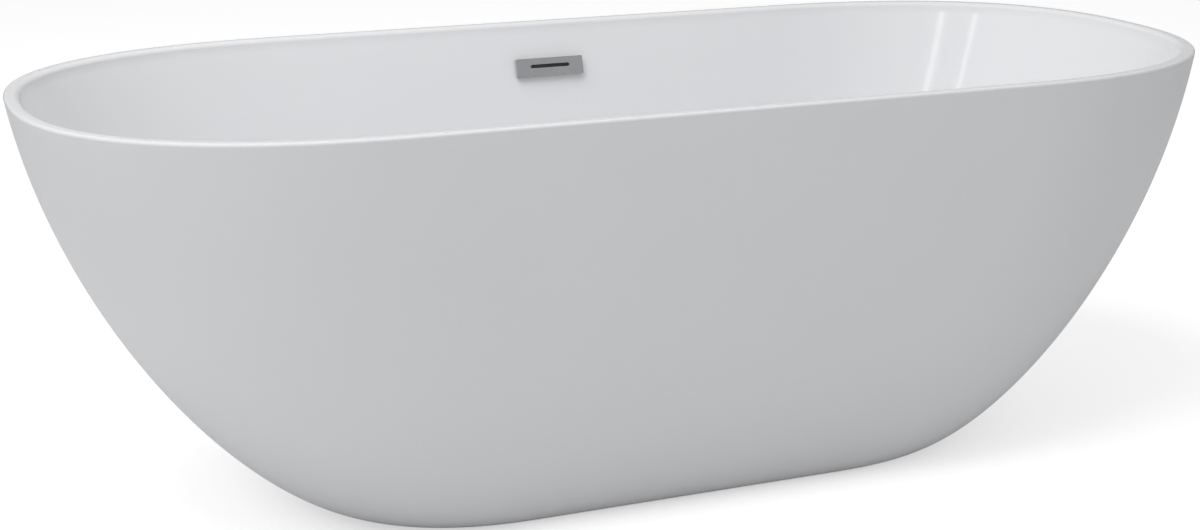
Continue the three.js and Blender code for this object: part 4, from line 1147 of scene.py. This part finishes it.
def makeStem():
    stem, low, top = plug["stem"], plug["stemLow"], plug["stemTop"]
    return makeTurned("plug_rod", [
        (0, low), (stem - 0.4, low), (stem, low + 0.5), (stem, plug["collarLow"]),
        (plug["collar"], plug["collarLow"]),
        (plug["collar"], plug["collarTop"]), (stem, plug["collarTop"]), (stem, top - 9), (stem - 0.4, top - 8.6),
        (stem - 0.4, top - 7.6), (stem, top - 7.2), (stem, top - 0.5), (stem - 0.5, top), (0, top)], edge=0.12,
        segments=48)


def makeCartridge():
    radius, bore, low, top = plug["barrel"], plug["barrelBore"], plug["barrelLow"], plug["barrelTop"]
    barrel = makeTurned("plug_barrel", [
        (0, low), (radius - 0.6, low), (radius, low + 0.6), (radius, top - 6), (radius - 0.4, top - 5.5),
        (radius - 0.4, top - 4.5), (radius, top - 4), (radius, top - 0.6), (radius - 0.6, top),
        (plug["stem"] + 0.6, top), (plug["stem"] + 0.6, top - plug["lip"]), (bore, top - plug["lip"]),
        (bore, low + plug["base"]), (0, low + plug["base"])], edge=0.15, segments=64)
    flats = makeHex("barrel_flats", plug["hexFlats"], plug["hexLow"], plug["hexLow"] + plug["hexHeight"])
    drill = makeRod("flats_drill", bore + 0.8, plug["hexLow"] - 1, plug["hexLow"] + 6, 48)
    cutAway(flats, drill)
    return joinPieces(barrel, flats)


def makeSpring():
    wire, low, high = plug["wire"], plug["springLow"] + plug["wire"] * 0.2, plug["springTop"] - plug["wire"] * 0.2
    ring = [(plug["spring"] + wire * math.cos(fullTurn * i / 12), low + wire * math.sin(fullTurn * i / 12))
            for i in range(13)]
    piece = startChain("return_spring", ring)
    bpy.ops.mesh.remove_doubles(threshold=0.001 * mm)
    steps = 48
    applyModifier(piece, "SCREW", angle=fullTurn, screw_offset=(high - low) / plug["turns"] * mm,
                  iterations=plug["turns"], steps=steps, render_steps=steps)
    editMesh(piece)
    closeEnds()
    return piece


finishPiece(makeCap(), materials["polished_chrome"], "chrome", "plug", "plug_cap")
finishPiece(makePlugSeal(), materials["black_rubber"], "rubber", "plug", "plug_seal")
finishPiece(makeStem(), materials["stainless_steel"], "stainless", "plug", "plug_stem")
finishPiece(makeCartridge(), materials["stainless_steel"], "stainless", "tub", "plug_cartridge")
spring = makeSpring()
dress(spring, materials["stainless_steel"], "stainless", "plug_spring", smooth=40)
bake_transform(spring)
print("the plug is made")


# overflow, drawn square to the wall (X along it, Y out through it, Z up its slope), then put in place

overflow = {
    "place": (0, 334.594, 511.5), "tilt": math.radians(-18.19),
    "cover": (110.0, 28.0), "coverFront": -8.7, "coverBack": -0.7, "coverWall": 1.6, "coverCorner": 1.6,
    "slot": (64.0, 5.4), "slotLift": 1.3, "lip": 1.5, "lipOut": 0.5,
    "wallSlot": (70.0, 12.0), "corner": 4.0, "screwX": 44.0,
    "retainer": (101.0, 20.0), "gasket": (99.0, 20.0), "screwHole": 3.0,
    "retainerBack": -2.5, "retainerThick": 2.0, "frontGasket": (-2.2, -0.7), "rearGasket": (5.7, 7.2),
    "bodyFront": 7.5, "flangeBack": 11.5, "chamberBack": 25.5, "chamber": (76.0, 18.0), "room": (70.0, 14.0),
    "chamberWall": 2.0, "boss": 5.5, "bossBack": 19.5, "bossBore": 2.7, "bossDepth": 18.5,
    "spigotY": 20.0, "spigot": 9.5, "spigotBore": 7.7, "spigotEnd": -31.0, "spigotBarbs": (-26.0, -21.4, -16.6),
    "clipZ": -23.0,
}


def makeSlab(name, size, corner, low, high, lift=0.0, edge=0.0, segments=6):  # rounded in XZ, from y low to y high
    slab = makeBox(name, (size[0], high - low, size[1]), (0, (low + high) / 2, lift), corner, along="Y",
                   segments=segments)
    if edge:
        editMesh(slab)
        soften(edge, angle=50, segments=3)
    return slab


def makeSlotRing():  # a rolled edge round the cover's slot
    width, tall = overflow["slot"]
    lip, front = overflow["lip"], overflow["coverFront"]
    ring = makeSlab("slot_lip", (width + 2 * lip, tall + 2 * lip), tall / 2 + lip - 0.02, front - overflow["lipOut"],
                    front + 3.4, overflow["slotLift"], segments=10)
    hole = makeSlab("slot_hole", (width, tall), tall / 2 - 0.02, front - 3, front + 6, overflow["slotLift"],
                    segments=10)
    cutAway(ring, hole)
    editMesh(ring)
    soften(0.6, angle=50, segments=4)
    return ring


def makeCover():
    wall, front, back = overflow["coverWall"], overflow["coverFront"], overflow["coverBack"]
    tray = makeSlab("cover_tray", overflow["cover"], overflow["coverCorner"], front, back)
    inside = [side - 2 * wall for side in overflow["cover"]]
    hollow = makeSlab("cover_hollow", inside, 0.6, front + wall, back + 1)
    width, tall = overflow["slot"]
    lip = overflow["lip"]
    slot = makeSlab("cover_slot", (width + lip, tall + lip), (tall + lip) / 2 - 0.02, front - 1, front + wall + 1,
                    overflow["slotLift"], segments=10)
    cutAway(tray, hollow, slot)
    editMesh(tray)
    soften(0.45, angle=50, segments=3)
    return joinPieces(tray, makeSlotRing())


def atScrews(piece):  # the piece laid along Y at each of the two screws, in its place
    copies = [copyOf(piece, piece.name + "_copy", (x, 0, 0), (-quarterTurn, 0, 0))
              for x in (-overflow["screwX"], overflow["screwX"])]
    bpy.data.objects.remove(piece)
    return copies


def wallCutters(low, high):  # the water slot and the two screw holes
    slot = makeSlab("water_slot", overflow["wallSlot"], overflow["corner"], low, high)
    return [slot, *atScrews(makeRod("screw_drill", overflow["screwHole"], low, high, 24))]


def makePlate(name, size, low, high, edge):
    plate = makeSlab(name, size, overflow["corner"], low, high)
    cutAway(plate, *wallCutters(low - 2, high + 2))
    editMesh(plate)
    soften(edge, angle=50)
    return plate


def makeOverflowBody():
    front, back, corner = overflow["bodyFront"], overflow["chamberBack"], overflow["corner"]
    spigotRadius, end, boss = overflow["spigot"], overflow["spigotEnd"], overflow["boss"]
    first, second, last = overflow["spigotBarbs"]
    flange = makeSlab("overflow_chamber", overflow["retainer"], corner, front, overflow["flangeBack"])
    chamber = makeSlab("chamber_block", overflow["chamber"], corner, front, back)
    spigot = makeTurned("spigot_block", [
        (0, end), (spigotRadius - 0.8, end), (spigotRadius, first), (spigotRadius - 0.6, first + 0.4),
        (spigotRadius, second), (spigotRadius - 0.6, second + 0.4), (spigotRadius, last), (spigotRadius, 0), (0, 0)],
        edge=0.2, segments=48)
    applyPlace(spigot, (0, overflow["spigotY"], 0))
    boss = makeTurned("boss_block", [(0, front), (boss + 0.7, front), (boss, front + 5), (boss, overflow["bossBack"]),
                                     (0, overflow["bossBack"])], edge=0.4, segments=32)
    cutAway(flange, chamber, spigot, *atScrews(boss), operation="UNION")
    room = makeSlab("chamber_room", overflow["room"], corner - 1, front - 1, back - overflow["chamberWall"])
    bore = makeRod("spigot_drill", overflow["spigotBore"], end - 2, 0, 40)
    applyPlace(bore, (0, overflow["spigotY"], 0))
    cutAway(flange, room, bore)
    cutAway(flange, *atScrews(makeRod("boss_drill", overflow["bossBore"], front - 1, overflow["bossDepth"], 20)))
    editMesh(flange)
    mergeAndFaceOut()
    return flange


overflowScrew = {
    "head": 4.6, "headLow": -6.4, "headTop": -4.8, "root": 2.0, "crest": 2.4, "pitch": 0.9, "tip": 17.5,
    "cross": (4.6, 0.9, 1.8),
}


def makeOverflowScrew():
    head, low, top, tip = (overflowScrew[name] for name in ("head", "headLow", "headTop", "tip"))
    root = overflowScrew["root"]
    screw = makeTurned("overflow_screw", [(0, low), (head - 2.2, low + 0.1), (head - 1, low + 0.4), (head, low + 1.1),
                                          (head, top), (root, top), (root, tip - 0.9), (root - 0.8, tip), (0, tip)],
                       edge=0.12, segments=40)
    reach, width, depth = overflowScrew["cross"]
    cutters = [makeBox("cross_cutter", size, (0, 0, low + 0.2), 0.2)
               for size in ((reach, width, depth), (width, reach, depth))]
    cutAway(screw, *cutters)
    thread = makeThread("overflow_thread", root, overflowScrew["crest"], overflowScrew["pitch"], top + 2.8, tip - 0.9,
                        20)
    screw = joinPieces(screw, thread)
    applyPlace(screw, turn=(-quarterTurn, 0, 0))
    return screw


hoseClip = {
    "bore": 12.8, "band": 1.0, "width": 9.0, "housing": (5.0, 12.0, 7.0), "worm": 2.2, "notches": 9,
}


def makeHoseClip():
    inner, outer, half = hoseClip["bore"], hoseClip["bore"] + hoseClip["band"], hoseClip["width"] / 2
    band = makeTurned("clip_band", [(inner, -half), (outer - 0.2, -half), (outer, -half + 0.5), (outer, half - 0.5),
                                    (outer - 0.2, half), (inner, half)], edge=0.15)
    side = outer - hoseClip["band"] / 2 + hoseClip["housing"][0] / 2
    saddle = makeBox("clip_housing", hoseClip["housing"], (side, 0, 0), 1.4, segments=4)
    worm = makeTurned("clip_worm", [(0, -8.6), (3.0, -8.6), (3.3, -8.2), (3.3, -6.4), (3.0, -6.1),
                                    (hoseClip["worm"], -6), (hoseClip["worm"], 6.8), (1.6, 7.2), (0, 7.2)], edge=0.15,
                      segments=32)
    cutAway(worm, makeBox("worm_slot", (7.4, 0.9, 1.6), (0, 0, -8.8), 0.2))
    applyPlace(worm, (side, 0, 0), (-quarterTurn, 0, 0))
    pieces = [saddle, worm]
    notch = makeBox("clip_notch", (0.5, 0.7, 5.4), (outer, 0, 0), 0.2)
    for i in range(hoseClip["notches"]):
        angle = math.radians(30 + 7 * i)
        pieces.append(copyOf(notch, "notch_copy", turn=(0, 0, angle)))
    bpy.data.objects.remove(notch)
    return joinPieces(band, *pieces)


def putOnWall(piece):
    applyPlace(piece, overflow["place"], (overflow["tilt"], 0, 0))
    return piece


cutAway(basinShell, *[putOnWall(cutter) for cutter in wallCutters(-10, 15)])
finishPiece(skirtShell, satinAcrylic, "acrylic", "tub", "outer_shell")
finishPiece(basinShell, glossAcrylic, "acrylic", "tub", "inner_basin")


overflowPieces = [
    (makeCover(), "polished_chrome", "chrome", "overflow_cover"),
    (makePlate("overflow_bracket", overflow["retainer"], overflow["retainerBack"] - overflow["retainerThick"],
               overflow["retainerBack"], 0.3), "black_nylon", "black_nylon", "overflow_retainer"),
    (makePlate("front_seal", overflow["gasket"], *overflow["frontGasket"], 0.2), "black_rubber", "rubber",
     "overflow_front_gasket"),
    (makePlate("rear_seal", overflow["gasket"], *overflow["rearGasket"], 0.2), "black_rubber", "rubber",
     "overflow_rear_gasket"),
    (makeOverflowBody(), "pipe_plastic", "pipe_plastic", "overflow_body"),
]
for piece, look, slotName, node in overflowPieces:
    finishPiece(putOnWall(piece), materials[look], slotName, "tub", node)
screw = makeOverflowScrew()
for sideName, side in (("left", -1), ("right", 1)):
    placed = copyOf(screw, f"wall_screw_{sideName}", (side * overflow["screwX"], 0, 0))
    finishPiece(putOnWall(placed), materials["yellow_zinc"], "zinc_fastener", "tub", f"overflow_screw_{sideName}")
bpy.data.objects.remove(screw)
clip = makeHoseClip()
upperClip = copyOf(clip, "worm_clip_upper", (0, overflow["spigotY"], overflow["clipZ"]))
finishPiece(putOnWall(upperClip), materials["galvanised_steel"], "galvanised", "tub", "hose_clip_upper")
lowerClip = copyOf(clip, "worm_clip_lower", (0, waste["portReach"] - 8, waste["portHeight"]), (quarterTurn, 0, 0))
finishPiece(lowerClip, materials["galvanised_steel"], "galvanised", "tub", "hose_clip_lower")
bpy.data.objects.remove(clip)
print("the overflow is made")


# overflow hose, grown ring by ring from the overflow's spigot down to the waste's port

hose = {
    "radius": 12.5, "valley": 11.3, "wall": 1.2, "pitch": 4.4, "sides": 48,
    "cuff": 16.0, "lead": 8.0,
    "drops": [122.22, 218.25, 314.28],     # below the overflow, down the middle of the gap
    "bendStart": 100.0, "bendIn": 28.0, "bendRise": 38.0, "lowIn": 6.0, "lowRise": 4.0, "underRail": 2.0,
}


def gapMiddle(z):  # half way between the two shells at the rear, in mm
    wall = tub["wall"]
    basinBack = curveBack(basinCurve, curveShare(basinCurve, z * mm), -wall).y
    skirtInside = curveBack(skirtCurve, curveShare(skirtCurve, z * mm), wall).y
    return (basinBack + skirtInside) / 2 / mm


def hosePath():  # (y, z) points in mm
    tilt, placeY, placeZ = overflow["tilt"], overflow["place"][1], overflow["place"][2]
    points = []
    for rise in (hose["cuff"], 0, -hose["lead"]):
        out, up = overflow["spigotY"], overflow["spigotEnd"] + rise
        points.append((placeY + out * math.cos(tilt) - up * math.sin(tilt),
                       placeZ + out * math.sin(tilt) + up * math.cos(tilt)))
    points += [(gapMiddle(placeZ - drop), placeZ - drop) for drop in hose["drops"]]
    port, reach = waste["portHeight"], waste["portReach"]
    bend = gapMiddle(port + hose["bendStart"])
    points += [(bend - hose["bendIn"], port + hose["bendRise"]),
               ((bend + railY) / 2 - hose["lowIn"], port + hose["lowRise"]), (railY + hose["underRail"], port)]
    return points + [(reach + rise, port) for rise in (hose["lead"], 0, -hose["cuff"])]


def smoothPath(points, step):  # centripetal spline through (y, z) points, at even steps
    first = 2 * points[0] - points[1]
    last = 2 * points[-1] - points[-2]
    chain = [first, *points, last]
    dense = []
    for a, b, c, d in zip(chain, chain[1:], chain[2:], chain[3:]):
        knots = [0.0]
        for start, end in ((a, b), (b, c), (c, d)):
            knots.append(knots[-1] + (end - start).length ** 0.5)
        for i in range(24):
            t = knots[1] + (knots[2] - knots[1]) * i / 24
            level = [a, b, c, d]
            for spans in (((0, 1), (1, 2), (2, 3)), ((0, 2), (1, 3)), ((1, 2),)):
                level = [start + (end - start) * (t - knots[low]) / (knots[high] - knots[low])
                         for start, end, (low, high) in zip(level, level[1:], spans)]
            dense.append(level[0])
    dense.append(points[-1])
    evenly, left = [dense[0]], step
    for start, end in zip(dense, dense[1:]):
        span = (end - start).length
        while span >= left:
            start = start + (end - start) * left / span
            evenly.append(start)
            span -= left
            left = step
        left -= span
    return evenly


def makeHose():
    quarter = hose["pitch"] / 4 * mm
    points = smoothPath([Vector((y * mm, z * mm)) for y, z in hosePath()], quarter)
    toObjectMode()
    bpy.ops.mesh.primitive_circle_add(vertices=hose["sides"], radius=hose["radius"] * mm, fill_type="NOTHING")
    piece = bpy.context.object
    piece.name = "ribbed_hose"
    editMesh(piece)

    def heading(i):  # slope of the route, as an angle about X
        before, after = points[max(i - 1, 0)], points[min(i + 1, len(points) - 1)]
        run = after - before
        return math.atan2(-run.x, run.y)

    facing = heading(0)
    bpy.ops.transform.rotate(value=-facing, orient_axis="X", center_override=(0, 0, 0))
    bpy.ops.transform.translate(value=(0, points[0].x, points[0].y))
    size = hose["radius"]
    cuffRings = int(hose["cuff"] * mm / quarter)
    for i in range(1, len(points)):
        plain = i <= cuffRings or i >= len(points) - cuffRings
        wanted = hose["radius"] if plain or i % 4 in (1, 2) else hose["valley"]
        step = points[i] - points[i - 1]
        place = (0, points[i].x, points[i].y)
        turned = heading(i)
        bpy.ops.mesh.extrude_edges_move(TRANSFORM_OT_translate={"value": (0, step.x, step.y)})
        bpy.ops.transform.rotate(value=facing - turned, orient_axis="X", center_override=place)
        if wanted != size:
            bpy.ops.transform.resize(value=[wanted / size] * 3, center_override=place)
        size, facing = wanted, turned
    mergeAndFaceOut()
    lastPlace = Vector((0, points[-1].x, points[-1].y))
    cage = bmesh.from_edit_mesh(piece.data)
    cage.normal_update()
    lastFace = min(cage.faces, key=lambda face: (face.calc_center_median() - lastPlace).length)
    if lastFace.normal.dot(lastFace.calc_center_median() - lastPlace) < 0:
        bpy.ops.mesh.flip_normals()
    applyModifier(piece, "SOLIDIFY", thickness=hose["wall"] * mm, offset=-1, use_even_offset=False)
    return piece


finishPiece(makeHose(), materials["pipe_plastic"], "pipe_plastic", "tub", "overflow_hose", smooth=60)
print("the overflow hose is made")


toObjectMode()
